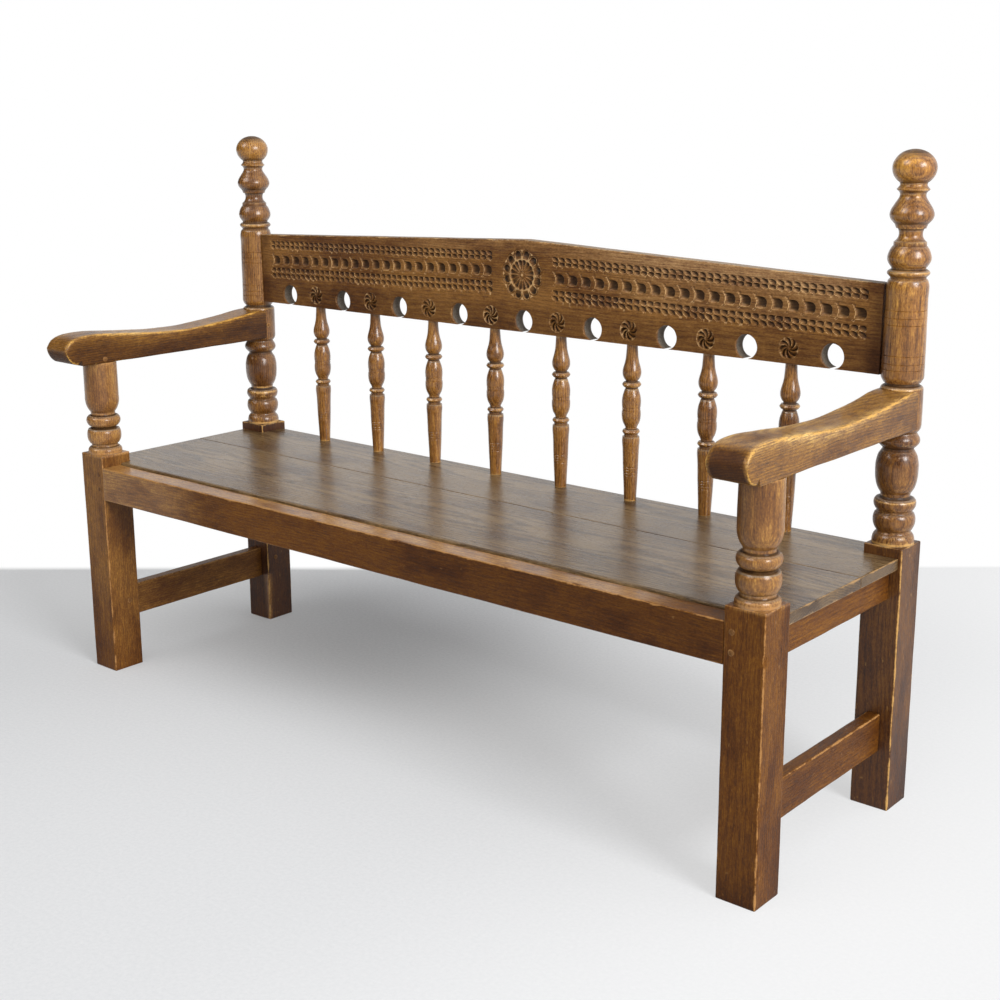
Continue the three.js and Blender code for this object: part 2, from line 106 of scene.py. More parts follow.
# %% A socket that takes part in sums
class Wire:
    def __init__(self, tree, socket=None):
        self.tree = tree
        self.socket = socket

    def node(self, kind, settings=None, sockets=None, out=0):
        """Any node: its settings first, then the values or links of its sockets."""
        made = self.tree.nodes.new(kind)
        for name, value in (settings or {}).items():
            if name == "stops":
                elements = made.color_ramp.elements
                while len(elements) < len(value):
                    elements.new(0.5)
                for element, (place, colour) in zip(elements, value):
                    element.position = place
                    element.color = colour
            else:
                setattr(made, name, value)
        for name, value in (sockets or {}).items():
            if isinstance(value, Wire):
                self.tree.links.new(value.socket, made.inputs[name])
            else:
                made.inputs[name].default_value = value
        return Wire(self.tree, made.outputs[out] if made.outputs else None)

    def output(self, name):
        """Another output of the node that this one comes from."""
        return Wire(self.tree, self.socket.node.outputs[name])

    def sum(self, operation, *terms):
        kinds = [t.socket.type if isinstance(t, Wire) else type(t) for t in terms]
        kind = "ShaderNodeVectorMath" if "VECTOR" in kinds or tuple in kinds else "ShaderNodeMath"
        return self.node(kind, {"operation": operation}, dict(enumerate(terms)))

    def __add__(self, other):
        return self.sum("ADD", self, other)

    __radd__ = __add__

    def __mul__(self, other):
        return self.sum("MULTIPLY", self, other)

    __rmul__ = __mul__

    def __sub__(self, other):
        return self.sum("SUBTRACT", self, other)

    def __rsub__(self, other):
        return self.sum("SUBTRACT", other, self)

    def __pow__(self, other):
        return self.sum("POWER", self, other)

    def length(self):
        return self.node("ShaderNodeVectorMath", {"operation": "LENGTH"}, {0: self}, 1)

    def ramp(self, low, high):
        """0 below low, 1 above high, smooth between."""
        settings = {"interpolation_type": "SMOOTHSTEP"}
        return self.node("ShaderNodeMapRange", settings, {0: self, 1: low, 2: high})

    def noise(self, stretch, detail=4.0, rough=0.55):
        """Noise that repeats about stretch times a metre, along the grain and across it."""
        sockets = {"Vector": self * stretch, "Scale": 1.0, "Detail": detail, "Roughness": rough}
        return self.node("ShaderNodeTexNoise", None, sockets)

    def mixed(self, other, share):
        """This colour with a share of another one."""
        return self.node("ShaderNodeMix", {"data_type": "RGBA"}, {0: share, 6: self, 7: other}, 2)


# %% A colour in linear light
def ink(code):
    """A colour written as a screen colour, as the linear light that Blender sums."""
    parts = [int(code[i:i + 2], 16) / 255 for i in (1, 3, 5)]
    return tuple(p / 12.92 if p < 0.04045 else ((p + 0.055) / 1.055) ** 2.4 for p in parts) + (1.0,)


# %% [markdown]
# ## Oak, six ways
#
# One old finish covers the bench, but hands, feet and sunlight have changed it from piece to
# piece, and light and shade are painted over it as well. The frame is a dark, waxed brown, the
# turned work is golden where it bulges and black in its grooves, the seat has gone grey under a
# soft polish, the arms are rubbed bright along their top edges, and the crest is darker at its
# ends and dark in its cuts, with grime and painted shade. Painted pictures could carry this, but
# only for one size of piece. Here every piece carries three small notes at each corner of its
# mesh instead: "grain" says where in the tree that spot grew, "marks" says how rubbed, how grimy
# and how dusty it is, where the grime also carries painted shade in the cuts and the rub painted
# highlights on their lit rims, and "sun" says how far hands and sunlight have
# lightened it and soot and end grain darkened it, and where painted light and painted shade lie
# on it. The shader reads them, so grain runs along every piece, rings bend round its heart, and
# wear follows the real edges.

# %% The oak shader
RING_RATE, RING_WANDER = 1500.0, 44.0


def oak(
    name, tones, gloss=0.42, coat=0.0, shine=0.25, relief=1.0, figure=0.1, worn=1.0,
    bleach_and_painted_light=(1.6, 2.6, 6.6), lively=1.0, polish=1.0,
):
    """Waxed old oak. Gloss is its plain roughness, figure the weight of its rings, lively that of
    its streaks, worn that of rubbed edges, bleach_and_painted_light what full lightening, by wear,
    sunlight and painted light, adds to each colour, and polish how much of the coat is left where
    sun is nought."""
    material = bpy.data.materials.new(name)
    material.use_nodes = True
    tree = material.node_tree
    tree.nodes.clear()
    start = Wire(tree)
    grain, marks, sun = (
        start.node("ShaderNodeAttribute", {"attribute_name": name}, None, out)
        for name, out in (("grain", "Vector"), ("marks", "Vector"), ("sun", "Fac"))
    )
    # Marks: rubbed, which on the carving's lit rims is also a painted highlight; grimy, which in
    # the cuts is also painted shade; and dusty.
    split = start.node("ShaderNodeSeparateXYZ", None, {0: marks})
    rubbed, grimy_and_shaded, dusty = (split.output(i) for i in range(3))

    # Unevenness of every size, most of it drawn out along the grain.
    drift = grain.noise((2.2, 12.0, 12.0), 3.0)
    streak = grain.noise((10.0, 440.0, 440.0), 4.0, 0.6)
    fibre = grain.noise((55.0, 1250.0, 1250.0), 3.0, 0.6)
    patch = grain.noise((6.0, 16.0, 16.0), 4.0, 0.6)
    mottle = grain.noise((45.0, 110.0, 110.0), 4.0, 0.65)
    speck = grain.noise((220.0, 430.0, 430.0), 3.0, 0.7)
    clump = grain.noise((34.0, 30.0, 30.0), 3.0, 0.6)
    # A ring for each year round the heart. Its early wood is open and holds the pores.
    heart = (grain * (0.04, 1.0, 1.0)).length()
    years = heart * RING_RATE + drift * RING_WANDER
    ring = start.node("ShaderNodeMath", {"operation": "SINE"}, {0: years})
    early = (ring * 0.5 + 0.5) ** 2.0
    pores = grain.noise((48.0, 900.0, 900.0), 3.0, 0.6).ramp(0.51, 0.66) * (0.45 + 0.55 * early)

    # The bare wood's colour, then lightening and darkening, partly wear and end grain and partly
    # painted light and shade, then pores, wear, dirt with painted shade, and dust over it.
    broad = (streak - 0.5) * 0.26 + (mottle - 0.5) * 0.32 + (patch - 0.5) * 0.34
    broad = broad + (0.4 - early) * figure
    tone = 0.5 + broad * lively + (fibre - 0.5) * 0.5 + (speck - 0.5) * 0.42
    stops = [(0.33, tones["deep"]), (0.50, tones["body"]), (0.67, tones["pale"])]
    colour = start.node("ShaderNodeValToRGB", {"stops": stops}, {0: tone})
    # Shade is the note's darkening: partly painted shade, partly wood that is truly darker, such as
    # end grain.
    shade = sun * -1.0
    for share, gain in (
        (sun.ramp(0.0, 1.2), bleach_and_painted_light),
        (shade.ramp(0.0, 1.0), (-0.70, -0.78, -0.83)),
        (patch.ramp(0.52, 0.34), (-0.32, -0.39, -0.43)),
    ):
        colour = colour * (share * gain + (1.0, 1.0, 1.0))
    colour = colour.mixed(tones["pore"], pores * 0.42 * lively)
    flecks = grain.noise((70.0, 120.0, 120.0), 2.0, 0.5).ramp(0.70, 0.78)
    ragged = (clump - 0.5) * 1.9 + (speck - 0.5) * 0.9 + (streak - 0.5) * 0.6
    bare = (rubbed * worn + ragged).ramp(0.5, 1.05)
    colour = colour.mixed(tones["worn"], bare * 0.85 + flecks * 0.25)
    # Grime and painted shade darken it alike.
    dirt_and_painted_shade = (grimy_and_shaded + (speck - 0.5) * 0.4 + (mottle - 0.5) * 0.4).ramp(0.12, 1.05)
    colour = colour.mixed(tones["grime_and_painted_shade"], dirt_and_painted_shade * 0.88)
    dust = (dusty + (speck - 0.5) * 0.9).ramp(0.1, 1.0)
    colour = colour.mixed(tones["dust"], dust * 0.7)

    # Grime with its painted shade, and dust, are dull, and the grain stands up a little.
    rough = gloss + shade.ramp(0.3, 1.2) * 0.25 + dirt_and_painted_shade * 0.22 + dust * 0.30
    rough = rough + (fibre - 0.5) * 0.18 + (streak - 0.5) * 0.2 + (mottle - 0.5) * 0.15
    height = fibre * 0.3 + streak * 0.4 - pores * 0.9 + speck * 0.2 + mottle * 0.5
    sockets = {"Strength": 0.6 * relief, "Distance": 0.0006, "Height": height}
    bump = start.node("ShaderNodeBump", None, sockets)
    sockets = {
        "Base Color": colour,
        "Roughness": rough,
        "Normal": bump,
        "Coat Weight": (1.0 - dirt_and_painted_shade) * (sun + polish).ramp(0.3, 0.9) * coat,
        "Coat Roughness": 0.2,
        "IOR": 1.46,
        "Specular IOR Level": shine,
    }
    shader = start.node("ShaderNodeBsdfPrincipled", None, sockets)
    start.node("ShaderNodeOutputMaterial", None, {0: shader})
    print("mixed", name, "from", len(tree.nodes), "nodes")
    return material


# %% The six finishes
def tones(deep, body, pale, worn, pore="#26140a", grime_and_painted_shade="#150a04", dust="#857a69"):
    named = dict(deep=deep, body=body, pale=pale, worn=worn, pore=pore, grime_and_painted_shade=grime_and_painted_shade, dust=dust)
    return {name: ink(code) for name, code in named.items()}


recipes = {
    "oak_frame": (
        tones("#44260e", "#673c12", "#88581c", "#b98750"),
        dict(gloss=0.46, coat=0.6, shine=0.18, figure=0.07, worn=0.9, lively=0.72, polish=0.0),
    ),
    "oak_turned": (
        tones("#4f2d10", "#855623", "#b17f3b", "#d6a55e"),
        dict(gloss=0.3, coat=0.55, shine=0.45, bleach_and_painted_light=(1.8, 2.2, 2.0), lively=0.85),
    ),
    "oak_seat": (
        tones("#4c3922", "#6e5637", "#8a714e", "#b48c58"),
        dict(gloss=0.30, coat=0.18, shine=0.4, relief=0.6, figure=0.2),
    ),
    "oak_arm": (
        tones("#573614", "#7f5421", "#a5752e", "#dfaa52"),
        dict(gloss=0.38, coat=0.12, shine=0.3, lively=0.95),
    ),
    "oak_crest": (
        tones("#57341a", "#835829", "#a4763d", "#d9b07a", dust="#a9a498"),
        dict(gloss=0.42, figure=0.07),
    ),
    "oak_peg": (tones("#573818", "#7b5229", "#8f6538", "#b08452"), dict(gloss=0.5)),
}
finishes = {name: oak(name, colours, **settings) for name, (colours, settings) in recipes.items()}


# %% [markdown]
# ## From numbers to pieces
#
# Every piece is a closed skin of quads with its notes at each corner. `Skin` gathers the sheets of
# one piece, welds their shared edges, turns every face outwards and writes the grain. Bevel and
# subdivision modifiers could round the same shapes, but they can't tell which edge hands have
# worn, and here the same numbers that ease an edge also write its wear.

# %% Smooth random waves
def ripple(points, size, seed):
    """A gentle wave between about -1 and 1 at places in mm: its swells are about size mm long."""
    chance = np.random.default_rng(seed)
    total = np.zeros(points.shape[:-1])
    for _ in range(5):
        way = chance.normal(size=3)
        way *= chance.uniform(0.7, 1.9) * 2 * math.pi / size / np.linalg.norm(way)
        total += np.sin(points @ way + chance.uniform(0, 6.28))
    return total / 3


def soft(value):
    """0 to 1, with no corner at either end."""
    value = np.clip(value, 0, 1)
    return value * value * (3 - 2 * value)


def triples(a, b, c):
    """Three sets of numbers side by side: places from x, y, z, or marks from rub,
    grime_and_painted_shade, dust.
    """
    return np.stack(np.broadcast_arrays(a, b, c), -1)


# %% The skin of a piece
class Skin:
    """Places in mm, the marks of each (rubbed; grimy_and_shaded, where the shade is painted;
    dusty), and faces between them.
    """

    def __init__(self):
        self.places, self.marks, self.faces, self.count = [], [], [], 0

    def keep(self, points, marks=(0, 0, 0)):
        points = np.asarray(points, float)
        marks = np.broadcast_to(np.asarray(marks, float), points.shape).reshape(-1, 3)
        first = self.count
        self.places.append(points.reshape(-1, 3))
        self.marks.append(marks)
        self.count += len(marks)
        return first + np.arange(len(marks)).reshape(points.shape[:-1])

    def lay(self, points, marks=(0, 0, 0), closed=False):
        """A sheet of quads over rows and columns of places."""
        index = self.keep(points, marks)
        if closed:
            index = np.hstack([index, index[:, :1]])
        corners = index[:-1, :-1], index[:-1, 1:], index[1:, 1:], index[1:, :-1]
        self.faces += np.stack(corners, -1).reshape(-1, 4).tolist()

    def cap(self, ring, marks=(0, 0, 0)):
        self.faces.append(self.keep(ring, marks).tolist())

    def fill(self, ring, flat, marks, pitch):
        """A level face inside a ring, filled with places about one pitch apart."""
        across, up = flat
        moved = np.linalg.norm(ring - np.roll(ring, 1, 0), axis=1) > 1e-4
        ring, marks = ring[moved], np.asarray(marks)[moved]
        outline = [Vector(place) for place in ring[:, flat]]
        low, high = ring.min(0), ring.max(0)
        lines = (np.arange(low[axis] + pitch * 0.8, high[axis], pitch) for axis in flat)
        inner = [Vector(place) for place in itertools.product(*lines)]
        loop = list(range(len(outline)))
        found = geometry.delaunay_2d_cdt(outline + inner, [], [loop], 1, 0.01)
        spots, _, faces, origins, *_ = found
        places = np.full((len(spots), 3), ring[0][3 - across - up])
        places[:, flat] = spots
        notes = np.zeros_like(places)
        for note, came in zip(notes, origins):
            if came and min(came) < len(outline):
                note[:] = marks[min(came)]
        index = self.keep(places, notes)
        self.faces += [[int(index[i]) for i in face] for face in faces]

    def zip(self, one, other, along):
        """Triangles between two lines of places that both run up the same axis."""
        a, b = self.keep(one), self.keep(other)
        i = j = 0
        while i < len(a) - 1 or j < len(b) - 1:
            ahead_a = one[i + 1][along] if i < len(a) - 1 else math.inf
            ahead_b = other[j + 1][along] if j < len(b) - 1 else math.inf
            if ahead_a <= ahead_b:
                self.faces.append([int(a[i]), int(a[i + 1]), int(b[j])])
                i += 1
            else:
                self.faces.append([int(a[i]), int(b[j + 1]), int(b[j])])
                j += 1

    def add(self, parts):
        """Places, marks and faces that were made elsewhere."""
        points, marks, faces = parts
        self.faces += [[i + self.count for i in face] for face in faces]
        self.keep(points, marks)


# %% A skin as a mesh
def plain_mesh(name, skin):
    """The welded mesh of a skin, with its marks, in mm."""
    mesh = bpy.data.meshes.new(name)
    mesh.from_pydata(np.concatenate(skin.places).tolist(), [], skin.faces)
    notes = mesh.attributes.new("marks", "FLOAT_VECTOR", "POINT")
    notes.data.foreach_set("vector", np.concatenate(skin.marks).ravel())
    return mesh


# %% A finished piece
def piece(name, skin, finish, nodes, grain="X", heart=(0.0, 90.0), crease=38, shape=None, sun=None):
    """Welds a skin, turns its faces outwards, writes its notes and rides it on the bench.

    Grain is the axis that the wood grew along, heart where the tree's middle lies across it,
    crease the least angle of a sharp edge, shape what moves the places, and sun
    what lightens or darkens them: wear, end grain, and painted light and shade."""
    mesh = plain_mesh(name, skin)
    shell = bmesh.new()
    shell.from_mesh(mesh)
    bmesh.ops.remove_doubles(shell, verts=shell.verts, dist=0.02)
    bmesh.ops.dissolve_degenerate(shell, edges=shell.edges, dist=0.001)
    bmesh.ops.recalc_face_normals(shell, faces=shell.faces)
    gaps = sum(not edge.is_manifold for edge in shell.edges)
    for face in shell.faces:
        face.smooth = True
    shell.to_mesh(mesh)
    shell.free()
    places = np.empty(len(mesh.vertices) * 3)
    mesh.vertices.foreach_get("co", places)
    places = places.reshape(-1, 3)
    if shape:
        places = shape(places)
    places = np.clip(places, *(np.array(packed_box) / MM))
    order = {"X": (0, 1, 2), "Y": (1, 0, 2), "Z": (2, 0, 1)}[grain]
    grown = places[:, order] - np.array([0.0, *heart])
    notes = mesh.attributes.new("grain", "FLOAT_VECTOR", "POINT")
    notes.data.foreach_set("vector", (grown * MM).ravel())
    notes = mesh.attributes.new("sun", "FLOAT", "POINT")
    notes.data.foreach_set("value", sun(places) if sun else np.zeros(len(places)))
    mesh.vertices.foreach_set("co", (places * MM).ravel())
    mesh.update()
    mesh.set_sharp_from_angle(angle=math.radians(crease))
    mesh.materials.append(finishes[finish])
    made = bpy.data.objects.new(name, mesh)
    scene.collection.objects.link(made)
    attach(made, "root")
    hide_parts(*nodes)
    mesh.calc_loop_triangles()
    print(f"{name}: {len(mesh.loop_triangles)} triangles, {gaps} open edges")
    return made


# %% [markdown]
# ## Set out by Geometry Nodes
#
# Pegs, spindles, rosettes and the chips of the carving are each one shape cut many times, at
# places struck off with dividers. One tree does what the carver does: it takes the places, sets a
# pattern down at each with its own turn, and lets the depth of each cut vary a little. The places
# could be looped over in Python, but the tree keeps pattern and setting-out apart, so either can
# be changed alone.

# %% The setting-out tree
def setting_out_tree():
    tree = bpy.data.node_groups.new("setting_out", "GeometryNodeTree")
    for name, kind in (
        ("Places", "Geometry"), ("Pattern", "Object"), ("Finish", "Material"),
        ("Depth Spread", "Float"), ("Seed", "Int"),
    ):
        tree.interface.new_socket(name, in_out="INPUT", socket_type="NodeSocket" + kind)
    tree.interface.new_socket("Geometry", in_out="OUTPUT", socket_type="NodeSocketGeometry")
    given = tree.nodes.new("NodeGroupInput").outputs

    def step(kind, links, **settings):
        made = tree.nodes.new(kind)
        for name, value in settings.items():
            setattr(made, name, value)
        for name, value in links.items():
            if isinstance(value, bpy.types.NodeSocket):
                tree.links.new(value, made.inputs[name])
            else:
                made.inputs[name].default_value = value
        return made.outputs

    turn = step("GeometryNodeInputNamedAttribute", {"Name": "turn"}, data_type="FLOAT_VECTOR")
    spread = {0: 1.0, 1: given["Depth Spread"]}
    least = step("ShaderNodeMath", spread, operation="SUBTRACT")[0]
    most = step("ShaderNodeMath", spread, operation="ADD")[0]
    chance = {2: least, 3: most, "Seed": given["Seed"]}
    depth = step("FunctionNodeRandomValue", chance, data_type="FLOAT")
    size = step("ShaderNodeCombineXYZ", {"X": 1.0, "Y": depth[1], "Z": 1.0})
    pattern = step("GeometryNodeObjectInfo", {"Object": given["Pattern"]})["Geometry"]
    links = {"Points": given["Places"], "Instance": pattern, "Rotation": turn[0], "Scale": size[0]}
    set_down = step("GeometryNodeInstanceOnPoints", links)
    joined = step("GeometryNodeRealizeInstances", {0: set_down[0]})
    dressed = step("GeometryNodeSetMaterial", {"Geometry": joined[0], "Material": given["Finish"]})
    step("NodeGroupOutput", {0: dressed[0]})
    return tree


setting_out = setting_out_tree()
print("setting-out tree:", len(setting_out.nodes), "nodes")


# %% Set a pattern down at its places
def set_out(skin, places, finish, turns=None, spread=0.0, seed=1):
    """Places, marks and faces of a pattern's skin repeated at places in mm."""
    pattern = bpy.data.objects.new("pattern", plain_mesh("pattern", skin))
    struck = bpy.data.meshes.new("struck")
    struck.from_pydata([tuple(place) for place in places], [], [])
    if turns is None:
        turns = np.zeros((len(places), 3))
    turn = struck.attributes.new("turn", "FLOAT_VECTOR", "POINT")
    turn.data.foreach_set("vector", np.ravel(turns))
    holder = bpy.data.objects.new("struck", struck)
    for made in (pattern, holder):
        scene.collection.objects.link(made)
    modifier = holder.modifiers.new("setting_out", "NODES")
    modifier.node_group = setting_out
    given = {"Pattern": pattern, "Finish": finishes[finish], "Depth Spread": spread, "Seed": seed}
    for item in setting_out.interface.items_tree:
        if item.in_out == "INPUT" and item.name in given:
            modifier[item.identifier] = given[item.name]
    graph = bpy.context.evaluated_depsgraph_get()
    cut = bpy.data.meshes.new_from_object(holder.evaluated_get(graph), depsgraph=graph)
    holder.modifiers.remove(modifier)
    points, marks = np.empty((2, len(cut.vertices) * 3))
    cut.vertices.foreach_get("co", points)
    cut.attributes["marks"].data.foreach_get("vector", marks)
    faces = [list(face.vertices) for face in cut.polygons]
    for made in (pattern, holder):
        bpy.data.objects.remove(made)
    return points.reshape(-1, 3), marks.reshape(-1, 3), faces


# %% [markdown]
# ## Squared work: legs, rails, boards
#
# Sawn and planed oak is never a plain box: its arrises are eased by a plane and then by a century
# of knees, and its faces hold a faint wave. `eased` rounds the corners of an outline and notes
# their wear, and `slab` carries that outline along an axis with its ends eased too.

# %% An outline with eased corners
def eased(corners, radius=2.0, weights=None, band=6.0, pitch=24.0):
    """A function that gives the outline at any inset, and the wear of each of its places."""
    corners = [np.array(corner, float) for corner in corners]
    count = len(corners)
    weights = weights or [1.0] * count
    ways = [corners[(i + 1) % count] - corners[i] for i in range(count)]
    runs = [float(np.linalg.norm(way)) for way in ways]
    ways = [way / run for way, run in zip(ways, runs)]
    convex = [ways[i - 1][0] * ways[i][1] - ways[i - 1][1] * ways[i][0] > 0 for i in range(count)]
    spots, rubs = [], []
    for i in range(count):
        nearest, farthest = radius + band, runs[i] - radius - band
        for share, rub in ((0, 0.55), (0.25, 0.85), (0.5, 1), (0.75, 0.85), (1, 0.55)):
            spots.append((i, None, share * math.pi / 2))
            rubs.append(rub * weights[i])
        middle = np.linspace(nearest, farthest, max(2, round((farthest - nearest) / pitch)))
        along = (radius + band * 0.4, *middle, runs[i] - radius - band * 0.4)
        spots += [(i, place, 0) for place in along]
        rubs += [0.22 * weights[i]] + [0] * len(middle) + [0.22 * weights[(i + 1) % count]]

    def outline(inset=0.0):
        places = []
        for (i, along, angle), depth in zip(spots, np.broadcast_to(inset, len(spots))):
            spread = ways[i] - ways[i - 1]
            if along is not None:
                low = max(radius, depth) if convex[i] else radius
                high = runs[i] - (max(radius, depth) if convex[(i + 1) % count] else radius)
                inward = np.array([-ways[i][1], ways[i][0]])
                place = ways[i] * min(max(along, low), high) + inward * depth
            elif convex[i] and depth >= radius:
                place = spread * depth
            else:
                out = ways[i - 1] * math.sin(angle) - ways[i] * math.cos(angle)
                place = spread * radius + out * (radius - depth if convex[i] else radius + depth)
            places.append(corners[i] + place)
        return np.array(places)

    return outline, np.array(rubs)


def traced(outline):
    """The same for a curved outline, inset along its normals."""
    along = np.roll(outline, -1, 0) - np.roll(outline, 1, 0)
    inward = np.stack([-along[:, 1], along[:, 0]], -1) / np.linalg.norm(along, axis=1)[:, None]
    return lambda inset=0.0: outline + inward * np.broadcast_to(inset, len(outline))[:, None]


# %% An outline carried along an axis
def slab(
    skin, outline, rubs, axes, low, high, ease=2.0, band=6.0, pitch=24.0, edge=1.0,
    ends=(1.0, 1.0), cap_rub=(0, 0), fill=0,
):
    """Axes are the outline's two and the one that it is carried along, as in "YZX". Ease is the
    radius at the ends, edge and ends its wear, and fill the pitch of places on the end faces."""
    ease = np.broadcast_to(np.asarray(ease, float), rubs.shape)
    reach = float(ease.max()) + max(band, 4)
    middle = np.linspace(low + reach, high - reach, max(2, round((high - low) / pitch)))
    profile = [(1.0, band, 0.0, cap_rub[0])] * (band > 0)
    profile += [(1.0, 0.0, 0.0, 0.55), (0.3, 0.0, 0.3, 1.0), (0.0, 0.0, 1.0, 0.55)]
    rows, marks = [], []
    columns = ["XYZ".index(axis) for axis in axes]

    def ring(inset, place, rub):
        flat = outline(inset)
        row = np.empty((len(flat), 3))
        row[:, columns] = triples(*flat.T, place)
        rows.append(row)
        marks.append(triples(np.clip(rub, 0, 1), 0, 0))

    for share, more, rise, rub in profile:
        wear = np.maximum(rubs * (1 - share), rub * edge * ends[0])
        ring(ease * share + more, low + ease * rise, wear)
    for place in middle:
        ring(0.0, place, rubs)
    for share, more, rise, rub in reversed(profile):
        rub = cap_rub[1] if more else rub
        wear = np.maximum(rubs * (1 - share), rub * edge * ends[1])
        ring(ease * share + more, high - ease * rise, wear)
    rows, marks = np.array(rows), np.array(marks)
    skin.lay(rows, marks, closed=True)
    for end in (0, -1):
        if fill:
            skin.fill(rows[end], columns[:2], marks[end], fill)
        else:
            skin.cap(rows[end], marks[end])


# %% Planed faces and small knocks
def planed(seed, wave=0.22, knocks=()):
    """Moves a piece's places by a faint wave, and presses in small knocks (place, size, depth)."""
    def shape(places):
        moved = places.copy()
        for axis in range(3):
            moved[:, axis] += wave * ripple(places, 130, seed + axis)
            moved[:, axis] += 0.35 * wave * ripple(places, 22, seed + 7 + axis)
        for place, size, push in knocks:
            near = np.clip(1 - ((places - place) ** 2).sum(1) / size ** 2, 0, 1)
            moved += near[:, None] * push
        return moved

    return shape


# %% [markdown]
# ## Turned work
#
# Posts and spindles were turned between centres: a gouge rolls the beads and coves, a parting tool
# cuts the thin grooves, and the point of a skew scores the fine lines. On the screen the same
# thing is a profile swept round an axis. The Screw or Spin tools would do it, but a plain grid of
# rings lets each ring know whether it lies in a groove, which is dark with old wax, or on a
# bulge, which is rubbed bright.

# %% The profile of a turning
def fair(members, step=1.4):
    """Joins members, each a list of (height, radius): curves inside and corners between."""
    profile = []
    for member in members:
        guides = np.array(member, float)
        if len(guides) > 2:
            spans = np.linalg.norm(np.diff(guides, axis=0), axis=1)
            knots = np.concatenate([[0], np.cumsum(spans)])
            slopes = np.gradient(guides, knots, axis=0)
            places = np.linspace(0, knots[-1], max(4, int(knots[-1] / step)))
            at = np.clip(np.searchsorted(knots, places, side="right") - 1, 0, len(knots) - 2)
            width = (knots[at + 1] - knots[at])[:, None]
            t = (places - knots[at])[:, None] / width
            guides = (
                (2 * t ** 3 - 3 * t ** 2 + 1) * guides[at]
                + (t ** 3 - 2 * t ** 2 + t) * width * slopes[at]
                + (3 * t ** 2 - 2 * t ** 3) * guides[at + 1]
                + (t ** 3 - t ** 2) * width * slopes[at + 1]
            )
        else:
            count = max(2, int(np.ptp(guides[:, 0]) / 9) + 1)
            guides = np.linspace(guides[0], guides[-1], count)
        profile += guides.tolist()
    return np.array(profile)


def scored(profile, heights, depth=0.8, half=0.8):
    """Cuts fine lines into a profile."""
    for height in heights:
        radius = np.interp(height, profile[:, 0], profile[:, 1])
        cut = [(height - half, radius), (height, radius - depth), (height + half, radius)]
        keep = np.abs(profile[:, 0] - height) > half * 1.05
        profile = np.concatenate([profile[keep], cut])
        profile = profile[np.argsort(profile[:, 0], kind="stable")]
    return profile


# %% A turning
def turning(skin, profile, x=0.0, y=0.0, facets=72, limit=34.0, seed=3):
    """Sweeps a profile round an upright axis. Grooves are dark with old wax, and bulges are rubbed.
    """
    heights, radii = profile[:, 0], np.minimum(profile[:, 1], limit)
    above = heights[None] - heights[:, None]
    apart = np.abs(above)
    widest = np.max(radii * (apart < 3.4), 1)
    narrowest = np.min(np.where(apart < 8, radii, np.inf), 1)
    groove = np.clip((widest - radii - 0.8) / 3.4, 0, 1)
    bulge = np.clip((radii - narrowest) / 9, 0, 1)
    beside = np.max(groove * (apart < 4.5), 1)
    rub = 0.1 + (0.42 * bulge + 0.5 * beside) * (1 - groove) ** 4
    settled = np.max(groove * ((above > 0) & (above < 2.6)), 1) * (1 - groove)
    dust = 0.9 * settled + 0.75 * (heights < heights[0] + 2.2)
    angles = np.linspace(0, 2 * math.pi, facets, endpoint=False)
    wide = radii[:, None]
    places = triples(wide * np.cos(angles), wide * np.sin(angles), heights[:, None])
    places[..., :2] *= 1 + 0.006 * ripple(places + 400 * x, 60, seed)[..., None] - 0.004
    places[..., :2] += (x, y)
    skin.lay(places, triples(rub, 0.85 * groove, dust)[:, None], closed=True)


# %% [markdown]
# ### The posts
#
# From the seat up each back post climbs through a base, a barrel, an egg, the plain drum that the
# arm is let into, the long cylinder that carries the crest, and then rings, a cove and a collar to
# its ball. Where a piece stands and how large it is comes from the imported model, piece by piece.
# The heights and radii of the turnings were read off the photograph with the solved camera.

# %% Sizes of the frame
def box_of(node):
    """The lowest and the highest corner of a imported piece, in mm."""
    return np.round(np.array(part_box(node)) / MM, 2)


leg, post = box_of("front_leg_right"), box_of("back_post_right")
half = (leg[1, 0] - leg[0, 0]) / 2
leg_x = leg[0, 0] + half
front_y, back_y = leg[0, 1], post[1, 1]
front_axis, back_axis = front_y + half, back_y - half
shadow_gap = 0.3
inner_x = leg_x - half - shadow_gap
inner_y = (front_axis + half + shadow_gap, back_axis - half - shadow_gap)
bay = box_of("spindle_5")[0, 0] - box_of("spindle_4")[0, 0]
sides = {"left": -1, "right": 1}
print("legs stand at", leg_x, "mm either side, and spindles", bay, "mm apart")


